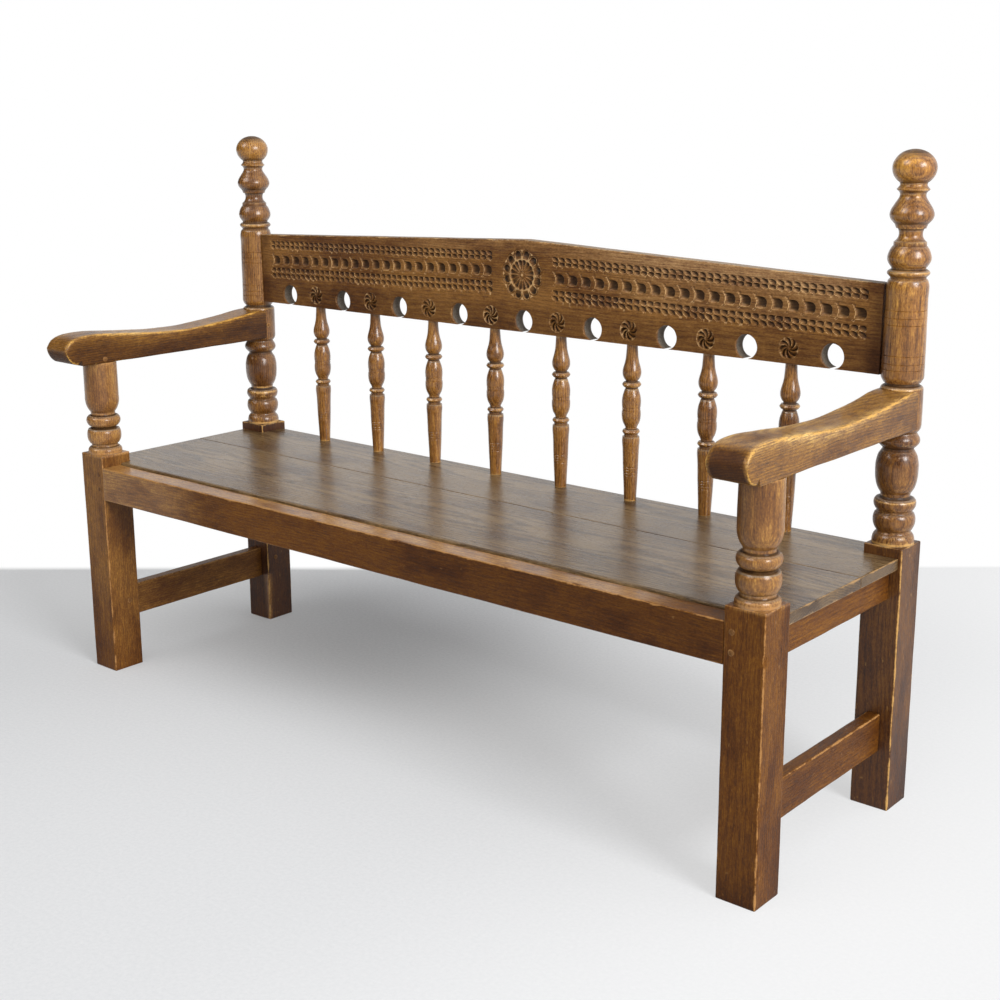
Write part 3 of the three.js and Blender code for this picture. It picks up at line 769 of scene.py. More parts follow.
# %% The profile of a back post
back_members = [
    [(453, 0), (453, 34.0)],
    [(454, 34.0), (459, 34.1), (463.3, 33.5), (467.5, 32.2), (470.5, 30.2)],
    [(471, 29.4), (474.5, 27.7), (478, 29.2)],
    [(478.5, 30), (484, 32.6), (492, 34), (499, 33.4), (503.7, 31.6)],
    [(505, 29.4), (507.5, 28.5), (510, 29.4)],
    [(510.5, 30), (514, 32.2), (521, 34), (526, 32.8), (529, 30.4)],
    [(529.6, 25.5), (532, 23.8), (537.5, 24.3)],
    [
        (538, 24.4), (543, 27.6), (550, 30.7), (559, 32.9), (567, 33.8), (575, 34), (584, 34),
        (592, 32.7), (600, 30.6), (608, 26),
    ],
    [(608.5, 24.9), (612, 24.5)],
    [(612.5, 25.5), (616, 29.2), (620, 32.4), (624, 33.5), (629, 32.6), (633, 30.4), (637, 28)],
    [(638, 28), (641, 31), (645, 33.2), (650, 34)],
    [(651, 34), (704, 34)],
    [(705, 34), (709, 33.7), (711.5, 32), (713, 29.3)],
    [(713.6, 27.2), (717.2, 27)],
    [(718, 29.6), (721.7, 31.8), (725, 33.5), (728.5, 34)],
    [(729, 34), (848, 32.6)],
    [(849, 32.6), (873.5, 32.3), (878, 31), (880.5, 29)],
    [(880.8, 28), (883.4, 28)],
    [(883.8, 28.6), (885.9, 30.8), (888, 32.7), (890.6, 33.2), (893, 31.9), (894.8, 29.3)],
    [(895.4, 26.8), (898.4, 26.8)],
    [(899, 27.6), (903, 30.5), (907.6, 32.9), (913, 33.9), (918, 33), (926, 30), (931, 26.8)],
    [(931.4, 25.6), (937.6, 25.6)],
    [(938, 24.6), (941.5, 21.2), (945, 19.2), (949, 18.4), (953, 18.6), (958, 20.2)],
    [(958.6, 23.2), (964.6, 25.3)],
    [(965, 25.4), (968, 28.4), (972, 31.8), (979, 33.9), (987, 32), (995, 27.3), (1002.5, 22.3)],
    [(1003, 22), (1006.5, 20.2), (1010, 19.8), (1013, 20.6)],
    [(1013.5, 21), (1016, 23.6), (1017.7, 25.5), (1019.4, 24), (1022.5, 21.4)],
    [(1023, 21), (1025.7, 20.6), (1027, 21.2)],
]
ball = [(1050 + 28.5 * math.sin(a), 33.8 * math.cos(a)) for a in np.linspace(-0.9, math.pi / 2, 22)]
back_profile = fair(back_members + [ball])
back_profile = scored(back_profile, (739.3, 748.8, 761.7, 809.9, 820.8, 832.4))
print("rings in a back post:", len(back_profile), "top at", round(back_profile[:, 0].max(), 1))


# %% The profile of a front leg
front_members = [
    [(457, 0), (457, 33.4)],
    [(458, 33.4), (462.5, 33.7), (467, 32.6), (470.5, 29.6)],
    [(471, 27.6), (474.8, 26), (478.6, 27.6)],
    [(479, 29.3), (486, 32.6), (495, 33.6), (503, 32.6), (507.5, 30.6)],
    [(508, 26), (510.5, 24), (513.6, 26)],
    [(514, 28.6), (519, 32.2), (526, 33.6), (531, 32.2), (534.5, 29.2)],
    [(535, 25.2), (538.5, 23.9), (543, 24.6)],
    [(543.5, 25), (548, 28.2), (553, 30.6), (560, 32.7), (568, 33.6), (576, 33.4)],
    [(577, 33.4), (645, 33.2)],
    [(645, 33.2), (645, 0)],
]
front_profile = fair(front_members)
print("rings in a front leg:", len(front_profile))


# %% Painted light and shade on the posts, and their darker feet
def post_tone_and_painted_light(places):
    """Painted light makes the posts lighter where they bulge above the arms and the balls lighter
    still, and lights the right legs' outer faces and the left front leg. Painted shade darkens the
    back posts below the arms, the back legs below the seat, the left one most, and the left side of
    every turning. The front legs' turnings are golden, all legs are darker at the feet, and a split
    in the left back leg's foot shows pale wood."""
    x, y, height = places.T
    square, back, left, outside = height < 456, y > 0, x < 0, x > leg_x + half - 2
    # Painted shade on the left side of every turning.
    away = soft((leg_x * np.sign(x) - x - 4) / 26)
    corner = np.abs(x + leg_x - half) + np.abs(y - back_axis + half)
    split = np.exp(-(corner / 10) ** 2) * (height < 112)
    # Painted shade on the back posts below the arms; the front legs' turnings are golden, and
    # painted light makes the left one lighter.
    turned = np.where(back, -0.25 * soft((712 - height) / 10), 0.78 + 0.3 * left)
    turned -= np.where(back, 0.4, 0.8) * away
    # Below the seat: painted shade on the back legs, the left one most, and painted light on the
    # left front leg and on the right legs' outer faces.
    below = np.where(back, -0.72 - 0.75 * left - 0.15 * outside, 0.5 * left) + 0.2 * outside
    # Painted light above the arms, more on the right, and on top of the balls; the split is pale
    # wood.
    sun = np.where(square, below, turned) + np.where(left, 0.1, 0.5) * soft((height - 690) / 140)
    sun += 0.3 * soft((height - 1010) / 20) + 2.1 * split
    return sun - np.where(y < front_y + 2, 0.75, 0.4) * np.exp(-height / 80)


# %% Legs and posts
# Knocks on a front leg's right arris: the height of each, how far it reaches, and its push.
knocks = {
    "right": [(387, 9, (-2.6, 1.4, 0)), (156, 11, (-2.2, 1.6, 0)), (60, 8, (-1.8, 1.0, 0))],
    "left": [(240, 9, (-1.6, 1.2, 0)), (90, 8, (-1.4, 1.2, 0))],
}
# Each upright's axis, the top of its square part, and its profile.
uprights = [
    ("front_leg", front_axis, 458, front_profile),
    ("back_post", back_axis, 454, back_profile),
]
# The posts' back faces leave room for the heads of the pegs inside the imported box.
rearmost = back_y - 0.8
for side, sign in sides.items():
    x = sign * leg_x
    for part, y, top, profile in uprights:
        skin = Skin()
        rear = min(y + half, rearmost)
        square = [(x - half, y - half), (x + half, y - half), (x + half, rear), (x - half, rear)]
        outline, rubs = eased(square, 2.4, [0.8, 1.0, 0.75, 0.6], band=5.5, pitch=20)
        wear = dict(ease=1.8, ends=(0.5, 0.9), cap_rub=(0.0, 0.55))
        slab(skin, outline, rubs, "XYZ", 0, top, band=4.5, pitch=11, **wear)
        turning(skin, profile, x, y)
        front = part == "front_leg"
        dents = [((x + half, front_y, z), reach, push) for z, reach, push in knocks[side]]
        shape = planed(20 + 5 * sign + int(y) % 7, 0.25, dents if front else ())
        looks = dict(heart=(x - sign * 70, y + 95), shape=shape, sun=post_tone_and_painted_light)
        finish = "oak_frame" if front else "oak_turned"
        piece(f"{side}_{part}", skin, finish, [f"{part}_{side}"], "Z", **looks)


# %% [markdown]
# ### Rails and stretchers
#
# The front rail's lip stands in front of the seat like a fender and is rubbed to a bright line
# along its top. Behind it a rebate carries the first board. The side rails and the low stretchers
# are plain.

# %% Wear and tone on the rails, and painted light and shade on the stretchers
(rail_front, rail_low), (rail_back, lip_top) = box_of("front_seat_rail")[:, 1:]
print("the lip of the front rail stands", lip_top, "mm high")


def rail_sun(places):
    """The lip's top is bare and pale, and the face is lighter at its left end."""
    x, _, z = places.T
    face = 0.9 * soft((-300 - x) / 300) - 0.45 * soft((x + 180) / 400)
    return np.where(z > lip_top - 1, 1.3 * soft((720 - x) / 260), face)


def stretcher_sun(places):
    """Light falls on the left stretcher, and the right one lies in its leg's shade."""
    return 0.45 * (places[:, 0] < 0)


# %% A rail between two legs
def rail(name, grain, weights, heart, seed, radius=2.0, section=None, knocks=(), sun=None):
    """A rail along X or Y, whose section is that of its packed box unless one is given."""
    axes, span = ("YZX", (-inner_x, inner_x)) if grain == "X" else ("XZY", inner_y)
    (left, low), (right, high) = box_of(name)[:, ["XY".index(axes[0]), 2]]
    section = section or [(left, low), (right, low), (right, high), (left, high)]
    skin = Skin()
    outline, rubs = eased(section, radius, weights, band=4.5, pitch=14)
    slab(skin, outline, rubs, axes, *span, ease=0.6, band=2, pitch=13, ends=(0.3, 0.3))
    shape = planed(seed, 0.25, knocks)
    piece("oak_" + name, skin, "oak_frame", [name], grain, heart, shape=shape, sun=sun)


# %% The rails
rebate_y, rebate_z = -170, box_of("back_seat_rail")[1, 2]
front_section = [
    (rail_front, rail_low), (rail_back, rail_low), (rail_back, rebate_z),
    (rebate_y, rebate_z), (rebate_y, lip_top), (rail_front, lip_top),
]
front_weights = [0.62, 0.3, 0.3, 0.2, 0.7, 1.0]
dented = (-560, -410, -120, 95, 330, 470, 610)
dents = [((x, rail_front, lip_top), 8, (0, 1.4, -1.6)) for x in dented]
lip = dict(section=front_section, knocks=dents, sun=rail_sun)
rail("front_seat_rail", "X", front_weights, (-120, 300), 61, 2.2, **lip)
rail("back_seat_rail", "X", None, (300, 300), 62)
for side, sign in sides.items():
    x = sign * leg_x
    weights = [0.4, 0.5, 0.2, 0.2]
    rail(f"side_seat_rail_{side}", "Y", weights, (x - 80, 330), 70 + sign)
    name, weights = f"lower_stretcher_{side}", [0.4, 0.6, 1.0, 0.8]
    rail(name, "Y", weights, (x + 60, 60), 80 + sign, 2.6, sun=stretcher_sun)


# %% [markdown]
# ### The seat
#
# Two broad boards, notched round the legs, meet in a thin dark seam. Sitting has polished them, so
# they mirror the spindles softly. They are outlines seen from above, carried through their
# thickness.

# %% The seat boards
board_end = box_of("seat_board_front")[1, 0]


def seat_sun(places):
    """The end grain of the boards is darker than their tops."""
    return -0.45 * np.clip((np.abs(places[:, 0]) - board_end + 1.6) / 1.2, 0, 1)


def seat_board(name, near, notch, far, heart):
    """A board seen from above: near is half its width before the notch, and far behind it."""
    (_, front, low), (_, back, high) = box_of(name)
    right = [(near, front), (near, notch), (far, notch), (far, back)]
    left = [(-x, y) for x, y in reversed(right)]
    corners = left[-1:] + right + left[:-1]
    skin = Skin()
    outline, rubs = eased(corners, 1.4, [0.5] * len(corners), band=3, pitch=30)
    x, y = outline().T
    wear = dict(ease=np.where(y < -160, 3.4, 1.3), edge=np.where(x > board_end - 4, 1.1, 0.35))
    slab(skin, outline, rubs, "XYZ", low, high, band=3, pitch=8, fill=15, **wear)
    piece("oak_" + name, skin, "oak_seat", [name], "X", heart, crease=32, sun=seat_sun)


seat_board("seat_board_front", inner_x, inner_y[0], board_end, (-30, 260))
seat_board("seat_board_back", board_end, inner_y[1], inner_x, (215, 330))


# %% [markdown]
# ### The arms
#
# Each arm is a plank on edge, sawn to a long S: high at the back, dipping at the elbow and rising
# to a heavy nose with a nick cut under it. Elbows have rubbed both top edges down to bare golden
# oak. The side outline is carried across the arm's width, and its back end is coped to the post.

# %% The side of an arm
arm_top = [
    (448, 707.5), (425, 707), (400, 705), (370, 701), (340, 697.8), (310, 695), (280, 692.7),
    (250, 691), (220, 690.5), (190, 691), (160, 692.3), (130, 694.5), (100, 697), (75, 699.5),
    (50, 701.5), (25, 703.5), (0, 704.7), (-15, 704.5), (-30, 703.5), (-43, 700.5), (-50, 697.5),
    (-55, 694), (-60, 688), (-64, 680),
]
arm_nose = [
    (-64, 680), (-63, 672), (-60, 665), (-56, 659), (-50, 653.4), (-43, 650), (-37.5, 649.6),
]
arm_nick = [(-36.5, 649.8), (-33.6, 653.4), (-30.4, 657), (-28.6, 651), (-27, 645.2)]
arm_half = leg_x - box_of("arm_right")[0, 0]


def arm_outline():
    """The side outline, and at each of its places how far the edge is eased and how worn it is."""
    runs = [
        (fair([arm_nose], 4), 2.6, 0.9),
        (arm_nick, 0.5, 0.1),
        (np.linspace((-26, 645), (448, 645), 26), 2.2, 0.45),
        (np.linspace((448, 650), (448, 702), 5), 0.4, 0.0),
        (fair([arm_top], 9)[:-1], 4.6, 0.85),
    ]
    outline = np.concatenate([run for run, _, _ in runs])
    outline[:, 0] += front_y
    ease, edge = np.repeat([both for _, *both in runs], [len(run) for run, _, _ in runs], 0).T
    return traced(outline), ease, edge


# %% How an arm meets its post, and how it wears
def coped(x, seed):
    """The arm's back end follows the drum of its post."""
    plane = planed(seed, 0.35)

    def shape(places):
        moved = plane(places)
        reach = np.sqrt(np.clip(34.2 ** 2 - (places[:, 0] - x) ** 2, 0, None))
        moved[:, 1] = np.minimum(moved[:, 1], back_axis - reach)
        return moved

    return shape


def arm_wear_and_painted_shade(x, sign):
    """Forearms have rubbed the top edges down to gold, and the end grain of the nose is dark. The
    sides are a little darker than the top, and painted shade darkens the left arm's sides more.
    """
    along, top = np.array(arm_top)[::-1].T

    def sun(places):
        across, run = np.abs(places[:, 0] - x), places[:, 1] - front_y
        front = np.clip((-44 - run) / 12, 0, 1) * np.clip((30 - across) / 4, 0, 1)
        below = np.clip(np.interp(run, along, top) - places[:, 2], 0, None)
        inwards = np.clip(arm_half - across, 0, None)
        elbow = 0.4 + 1.0 * np.exp(-((run - 140) / 150) ** 2)
        gold = np.exp(-(inwards + below) / 11) * elbow
        flank = np.clip(below / 8, 0, 1)
        # Painted shade on the left arm's sides.
        shade = (0.2 + 0.55 * flank) * (sign < 0)
        return gold + 0.2 - (0.7 + 0.55 * sign) * front - shade - 0.2 * flank

    return sun


# %% The arms
for side, sign in sides.items():
    x = sign * leg_x
    skin = Skin()
    outline, ease, edge = arm_outline()
    wear = dict(ease=ease, band=0, edge=edge)
    slab(skin, outline, 0 * edge, "YZX", x - arm_half, x + arm_half, pitch=7, fill=7, **wear)
    looks = dict(crease=44, shape=coped(x, 100 + sign), sun=arm_wear_and_painted_shade(x, sign))
    piece(f"{side}_arm", skin, "oak_arm", [f"arm_{side}"], "Y", (x + 25, 570), **looks)


# %% [markdown]
# ### The spindles
#
# Eight spindles, all from one pattern, stand on the seat and carry the crest. The setting-out tree
# stands them at their places, each turned a different way so that no two show the same face.

# %% The profile of a spindle
spindle_members = [
    [(434, 0), (434, 11.2)],
    [(438, 11.2), (465, 12.4), (501, 14.1), (537.5, 15.2), (552, 16), (558, 15.4)],
    [(558.6, 12.6), (562.6, 12.4)],
    [(563, 13.8), (567, 16.2), (571, 13.8)],
    [(571.6, 10.6), (574.6, 10.6)],
    [(575, 11.0), (578, 12.2), (582.5, 14.6), (591, 16.9), (600, 17.5), (605.2, 17.2)],
    [(605.6, 16.4), (609.3, 16.8), (612.6, 16.4)],
    [(613, 17.1), (623.5, 17.4), (632, 16.4), (641, 13.8), (645.4, 12.2)],
    [(646, 11.6), (649, 11.6)],
    [(649.4, 14.6), (653.7, 17.5), (658.2, 14.6)],
    [(658.8, 11), (661.8, 11)],
    [
        (662, 12.2), (664.5, 14), (669.6, 16.3), (676.6, 17.1), (683.7, 15.9), (690.7, 13.9),
        (701, 11.7), (712, 10.7), (720, 10.2), (731, 10.1),
    ],
    [(731, 10.1), (731, 0)],
]
spindle_profile = scored(fair(spindle_members, 1.8), (486, 491, 496, 501), 0.45, 0.7)
print("rings in a spindle:", len(spindle_profile))


# %% The spindles
spindle = Skin()
turning(spindle, spindle_profile, facets=40, limit=17.5, seed=5)
nodes = [f"spindle_{i + 1}" for i in range(8)]
places = [(*box_of(name).mean(0)[:2], 0) for name in nodes]
turns = triples(0, 0, np.random.default_rng(8).uniform(0, 6.28, 8))
skin = Skin()
skin.add(set_out(spindle, places, "oak_turned", turns))
piece("spindles", skin, "oak_turned", nodes, "Z", (30, 160), shape=planed(7, 0.1))


# %% [markdown]
# ### The crest rail
#
# The crest is the showpiece: a board that rises to a low gable, pierced by nine round holes that
# just break its lower edge, with whirling rosettes between them, three bands of gouge and chip
# cuts along each half, and a large rosette under the peak. The cuts could be a bump in the
# material, but a bump has no walls that go dark, so they are real hollows. The front is built in
# blocks that share their edges: repeated cells along the bottom, repeated chips in the bands, and
# rings of places round the great rosette.

# %% Sizes of the crest
(_, face_y, crest_low), (_, crest_back, crest_peak) = box_of("crest_rail")
crest_thick, crest_end = crest_back - face_y, inner_x
cell_top, seam_z, cell_half = 777.0, 778.3, bay / 4
hole_z, hole_r = 747.5, 21.0
whirl_z, whirl_r = 752.6, 18.8


def crest_top(x):
    return crest_peak - 28.3 * np.abs(x) / crest_end


print("crest peak at", crest_top(0), "mm")


# %% How a gouge cuts
def chip(x, z, middle, halves, deep, square, tilt, least=0.0, wall=0.2, lean=(0.30, 0.42)):
    """A thumbnail cut: a steep wall at its upper right, a floor that rises to its lower left."""
    c, s = math.cos(tilt), math.sin(tilt)
    u, v = x - middle[0], z - middle[1]
    u, v = (u * c + v * s) / halves[0], (v * c - u * s) / halves[1]
    rim = (np.abs(u) ** square + np.abs(v) ** square) ** (1 / square)
    slope = least + (1 - least) * np.clip(0.5 + lean[1] * v + lean[0] * u, 0, 1)
    return deep * soft((1 - rim) / wall) * slope


def tile(columns, rows, cut, dusty=0.0, dark=3.2):
    """One repeat of a band, as a sheet whose edges lie in the face of the board."""
    x, z = np.meshgrid(columns, rows)
    depth = cut(x, z)
    depth[[0, -1]] = 0
    depth[:, [0, -1]] = 0
    skin = Skin()
    # Painted shade: the grime note deepens with the cut, as grime and painted shade at once, and
    # more on the walls at the upper right, which face away from the light.
    up, across = np.gradient(depth, rows, columns)
    shaded = np.clip(-(up + across) / 2, 0, 1) * (depth > 0.3)
    grime_and_painted_shade = np.clip(1.15 * depth / dark, 0, 0.86) + 0.3 * shaded
    dust = dusty * np.clip(depth, 0, 1) * np.clip(1.2 - depth / 3.6, 0, 1)
    # The face round each cut is rubbed, most at its left and lower rims, where the rub is also a
    # painted highlight on the lit rims.
    cut_away = depth > 0.12
    rub = np.zeros_like(depth)
    rub[:, 1:] += 0.35 * cut_away[:, :-1]
    rub[1:] += 0.35 * cut_away[:-1]
    rub[:, :-1] += 1.1 * cut_away[:, 1:]
    rub[:-1] += 0.8 * cut_away[1:]
    rub = np.where(cut_away, 0, np.minimum(rub, 1.15))
    skin.lay(triples(x, depth, z), triples(rub, grime_and_painted_shade, dust))
    return skin


# %% The three kinds of cut
chip_columns = np.array([0, 0.06, 0.14, 0.27, 0.42, 0.58, 0.73, 0.85, 0.93, 1])
chip_rows = np.array([0, 0.09, 0.22, 0.40, 0.60, 0.78, 0.91, 1])
crescent_columns = np.array([
    0, 0.09, 0.15, 0.2, 0.25, 0.3, 0.35, 0.4, 0.47, 0.55,
    0.63, 0.7, 0.76, 0.81, 0.85, 0.885, 0.92, 0.95, 0.975, 1,
])
crescent_rows = np.array([
    0, 0.05, 0.1, 0.15, 0.19, 0.25, 0.33, 0.42, 0.51,
    0.6, 0.68, 0.74, 0.785, 0.82, 0.85, 0.885, 0.93, 1,
])


def outer_chip(pitch, height):
    """The slanting comma of a double row's outer edge."""
    middle, halves = (pitch * 0.53, height * 0.50), (pitch * 0.55, height * 0.43)
    return lambda x, z: chip(x, z, middle, halves, 4.0, 2.0, math.radians(-22))


def inner_chip(pitch, height):
    """The squarer cut of its inner edge: its lower left runs out to the face."""
    middle, halves = (pitch * 0.50, height * 0.50), (pitch * 0.47, height * 0.47)
    return lambda x, z: chip(x, z, middle, halves, 3.8, 3.4, 0.0, 0.0, 0.22, (0.42, 0.46))


def crescent(pitch, height, margin):
    """A broad gouge cut: a lit step bulges in from its left, and its right end is round."""
    mid, big = height / 2, height / 2 - margin
    centre = pitch - 1.3 - big

    def cut(x, z):
        rise = z - mid
        left = 9.8 - (13 - np.sqrt(169 - np.clip(rise, -12, 12) ** 2))
        room = big - np.where(x > centre, np.hypot(x - centre, rise), np.abs(rise))
        low = soft((rise + big) / 6.5)
        floor = 2.4 + 3.4 * np.clip((x - 9) / 17, 0, 1)
        depth = floor * np.clip((x - left) / 2.2, 0, 1) * soft(room / 1.6) * low
        over = chip(x, z, (6.4, mid + big + 2.4), (3.4, 1.8), 2.0, 2, math.radians(-38), 0.4, 0.5)
        under = chip(x, z, (5.4, mid - big - 1.6), (3.2, 1.5), 1.4, 2, math.radians(30), 0.4, 0.5)
        return np.maximum(depth, np.maximum(over, under))

    return cut


# %% The lines of the bands
# From where to where the bands of a half run, and of each its height at the middle of the bench,
# its slope and how tall it is.
bands = {
    "left": dict(
        x=(-704.0, -76.0),
        lower=(780.4 + 0.02521 * 693, 0.02521, 22.8),
        middle=(808.4 + 0.0311 * 692, 0.0311, 20.2),
        upper=(842.0 + 0.02437 * 689, 0.02437, 18.6),
    ),
    "right": dict(
        x=(68.0, 707.0),
        lower=(791.2 + 0.01502 * 76, -0.01502, 20.8),
        middle=(821.6 + 0.01783 * 76, -0.01783, 20.4),
        upper=(854.6 + 0.01753 * 76, -0.01753, 18.2),
    ),
}
chip_count, nick_margin = 42, 5.0
steps = len(chip_rows) - 1
double = np.concatenate([chip_rows[:-1] / 2, 0.5 + chip_rows / 2])


def band_line(side, name, x):
    """Height of a band's lower edge above the floor."""
    start, slope, _ = bands[side][name]
    return start + slope * np.asarray(x, float)


def crest_rows(side, x):
    """The heights of all rows of places at x, from the seam above the cells to the top edge."""
    x = np.asarray(x, float)
    lower, middle, upper = (band_line(side, name, x) for name in ("lower", "middle", "upper"))
    low_h, mid_h, up_h = (bands[side][name][2] for name in ("lower", "middle", "upper"))
    top = crest_top(x)
    rows = [np.full_like(x, seam_z)]
    rows += [lower + low_h * share for share in double]
    rows += [middle - nick_margin + (mid_h + 2 * nick_margin) * share for share in crescent_rows]
    rows += [upper + up_h * share for share in double]
    rows += [(top - 7 + upper + up_h) / 2]
    rows += [top - drop for drop in (7, 4.2, 2.2, 0.9, 0.25, 0)]
    return np.array(rows)


edge_depths = (0, 0, 0, 0.25, 0.9, 2.2)
edge_rubs = (0, 0.1, 0.35, 0.7, 0.7, 0.4)
print("rows of places up the crest:", len(crest_rows("left", [0.0])))


# %% The columns of each half
def band_columns(side):
    low, high = bands[side]["x"]
    pitch = (high - low) / chip_count
    starts = low + pitch * np.arange(chip_count)
    return np.append((starts[:, None] + pitch * chip_columns[:-1]).ravel(), high)


left_low, left_high = bands["left"]["x"]
right_low, right_high = bands["right"]["x"]
half_columns = {
    "left": np.append(np.linspace(-crest_end, left_low, 6)[:-1], band_columns("left")),
    "right": np.append(band_columns("right"), np.linspace(right_high, crest_end, 6)[1:]),
}
centre_columns = np.linspace(left_high, right_low, 85)
print("columns:", {side: len(c) for side, c in half_columns.items()}, len(centre_columns))


# %% The top edge
def depth_at_edge(rows_count):
    """How deep each row lies and how worn it is: only the last six round the top edge over."""
    depth, rub = np.zeros((2, rows_count))
    depth[-6:], rub[-6:] = edge_depths, edge_rubs
    return depth, rub


# %% Cut the bands
def carve_half(front, side):
    """Lays the plain rows between the bands, and sets the cuts out along them."""
    low, high = bands[side]["x"]
    pitch = (high - low) / chip_count
    columns = half_columns[side]
    pairs = chip_count // 2
    broad = low + 2 * pitch * np.append(np.arange(pairs)[:, None] + crescent_columns[:-1], pairs)
    outside = (columns < low - 1e-6) | (columns > high + 1e-6)
    broad = np.sort(np.append(broad, columns[outside]))
    # Rows are counted from the seam up. The middle band starts at after, the upper one at over.
    after = 2 * steps + 2
    over = after + len(crescent_rows)
    last = over + 2 * steps
    depth, rub = depth_at_edge(last + 8)

    def sheet(start, stop, across):
        span = slice(start, stop + 1)
        places = triples(across, face_y + depth[span, None], crest_rows(side, across)[span])
        return places, triples(rub[span, None], 0, 0)

    front.lay(*sheet(0, 1, columns))
    front.lay(*sheet(last, last + 7, columns))
    spans = (1, after - 1, columns), (after, over - 1, broad), (over, last, columns)
    for start, stop, across in spans:
        for part in (across[across <= low + 1e-6], across[across >= high - 1e-6]):
            if len(part) > 1:
                front.lay(*sheet(start, stop, part))
    for row, below, above in ((after - 1, columns, broad), (over - 1, broad, columns)):
        front.zip(sheet(row, row, below)[0][0], sheet(row + 1, row + 1, above)[0][0], 0)
    cuts = []
    doubles = ("lower", outer_chip, inner_chip), ("upper", inner_chip, outer_chip)
    for band, below, above in doubles:
        tall = bands[side][band][2] / 2
        for lift, kind in ((0, below), (tall, above)):
            pattern = tile(pitch * chip_columns, tall * chip_rows, kind(pitch, tall))
            cuts.append((band, lift, pitch, pattern))
    tall = bands[side]["middle"][2] + 2 * nick_margin
    cut = crescent(2 * pitch, tall, nick_margin)
    pattern = tile(2 * pitch * crescent_columns, tall * crescent_rows, cut, 0.3, 5.2)
    cuts.append(("middle", -nick_margin, 2 * pitch, pattern))
    for number, (band, lift, step, pattern) in enumerate(cuts):
        places = [(low + step * i, 0, 0) for i in range(round((high - low) / step))]
        points, notes, faces = set_out(pattern, places, "oak_crest", spread=0.16, seed=11 + number)
        points[:, 2] += band_line(side, band, points[:, 0]) + lift
        points[:, 1] += face_y
        front.add((points, notes, faces))


crest = Skin()
for side in sides:
    carve_half(crest, side)
print("places in the bands:", crest.count)


# %% The great rosette
rosette_x, rosette_z = -3.0, 834.5


def rosette_depth(rho, phi):
    """Twelve lobes and sixteen petals, each cut deepest at its outer end, round a small boss."""
    lobe = (phi / (math.pi / 6)) % 1 - 0.5
    across = rho * np.sin(lobe * math.pi / 6)
    bulge, wedge = 9.0 - np.hypot(rho - 38.5, across), 9.0 * rho / 38.5 - np.abs(across)
    inside = np.where(rho > 38.5, bulge, wedge)
    outline = 1.8 * soft(1 - np.abs(inside + 0.7) / 1.5) * soft((rho - 34) / 4)
    sink = 0.10 + 0.90 * np.clip((rho - 30) / 13, 0, 1)
    hollow = 4.4 * soft((inside - 1.2) / 1.5) * sink * soft((rho - 30.2) / 1.2)
    petal = np.abs((phi / (math.pi / 8)) % 1 - 0.5) * 2
    end = 28.6 - 2.2 * petal ** 2
    slope = 0.18 + 0.82 * np.clip((rho - 8) / 16, 0, 1)
    gouge = 3.6 * (1 - petal ** 3) * soft((end - rho) / 1.6) * slope * soft((rho - 6.8) / 1.5)
    boss = 1.8 * soft(1 - np.abs(rho - 6.6) / 1.7) + 0.5 * np.clip(rho / 5, 0, 1) ** 2 * (rho < 5)
    return np.where(rho > 29.4, np.maximum(outline, hollow), np.maximum(gouge, boss))


# %% The rim of the middle block
left_side = crest_rows("left", [left_high])[:, 0]
right_side = crest_rows("right", [right_low])[:, 0]
side_depth, _ = depth_at_edge(len(left_side))
rim = [(x, face_y, seam_z) for x in centre_columns[:-1]]
rim += [(right_low, face_y + d, z) for z, d in zip(right_side[:-1], side_depth)]
rim += [(x, face_y + side_depth[-1], crest_top(x)) for x in centre_columns[:0:-1]]
rim += [(left_high, face_y + d, z) for z, d in zip(left_side[:0:-1], side_depth[::-1])]
rim = np.array(rim)
print("places round the great rosette:", len(rim))


# %% Rings of places round the great rosette
def centre_block(front):
    """Rows that run in from the rim of the block, then rings down to the rosette's middle."""
    start = math.atan2(seam_z - rosette_z, left_high - rosette_x)
    angles = start + np.arange(len(rim)) * 2 * math.pi / len(rim)
    runs = ((50, 43.4, 12), (42, 32, 7), (31, 25, 9), (23, 10, 7), (8.8, 0, 9))
    radii = np.concatenate([np.linspace(*run) for run in runs])
    rho, phi = np.meshgrid(radii, angles, indexing="ij")
    depth = rosette_depth(rho, phi)
    ring = triples(rosette_x + rho * np.cos(phi), face_y + depth, rosette_z + rho * np.sin(phi))
    # The cuts darken with depth: grime and painted shade.
    grime_and_painted_shade = np.where(rho > 29.4, 1.0, 0.85) * np.clip(depth / 3.6, 0, 1)
    marks = triples(1.0 * (depth < 0.2) * (rho < 47), grime_and_painted_shade, 0.2 * (depth > 0.3))
    rows, notes = [], []
    for share in (0, 0.12, 0.3, 0.6):
        row = rim + (ring[0] - rim) * share
        drop = crest_top(row[:, 0]) - row[:, 2]
        row[:, 1] = face_y + np.interp(drop, (0, 0.25, 0.9, 2.2), (2.2, 0.9, 0.25, 0))
        rows.append(row)
        notes.append(triples(np.interp(drop, (0, 0.9, 2.2, 5), (0.6, 1, 0.5, 0)), 0, 0))
    front.lay(np.concatenate([rows, ring]), np.concatenate([notes, marks]), closed=True)


centre_block(crest)


# %% [markdown]
# The row under the bands repeats two cells. One is pierced and the other holds a whirling rosette
# of eight curved cuts. Each cell is a ring of places that starts from its oblong edge and closes
# on a circle, front and back at once.

# %% The edge of a cell
cell_ring = 96
edge_lines = (0, 0.18, 0.8, 2.0, 6, 13, 20, crest_thick - 1.5, crest_thick)


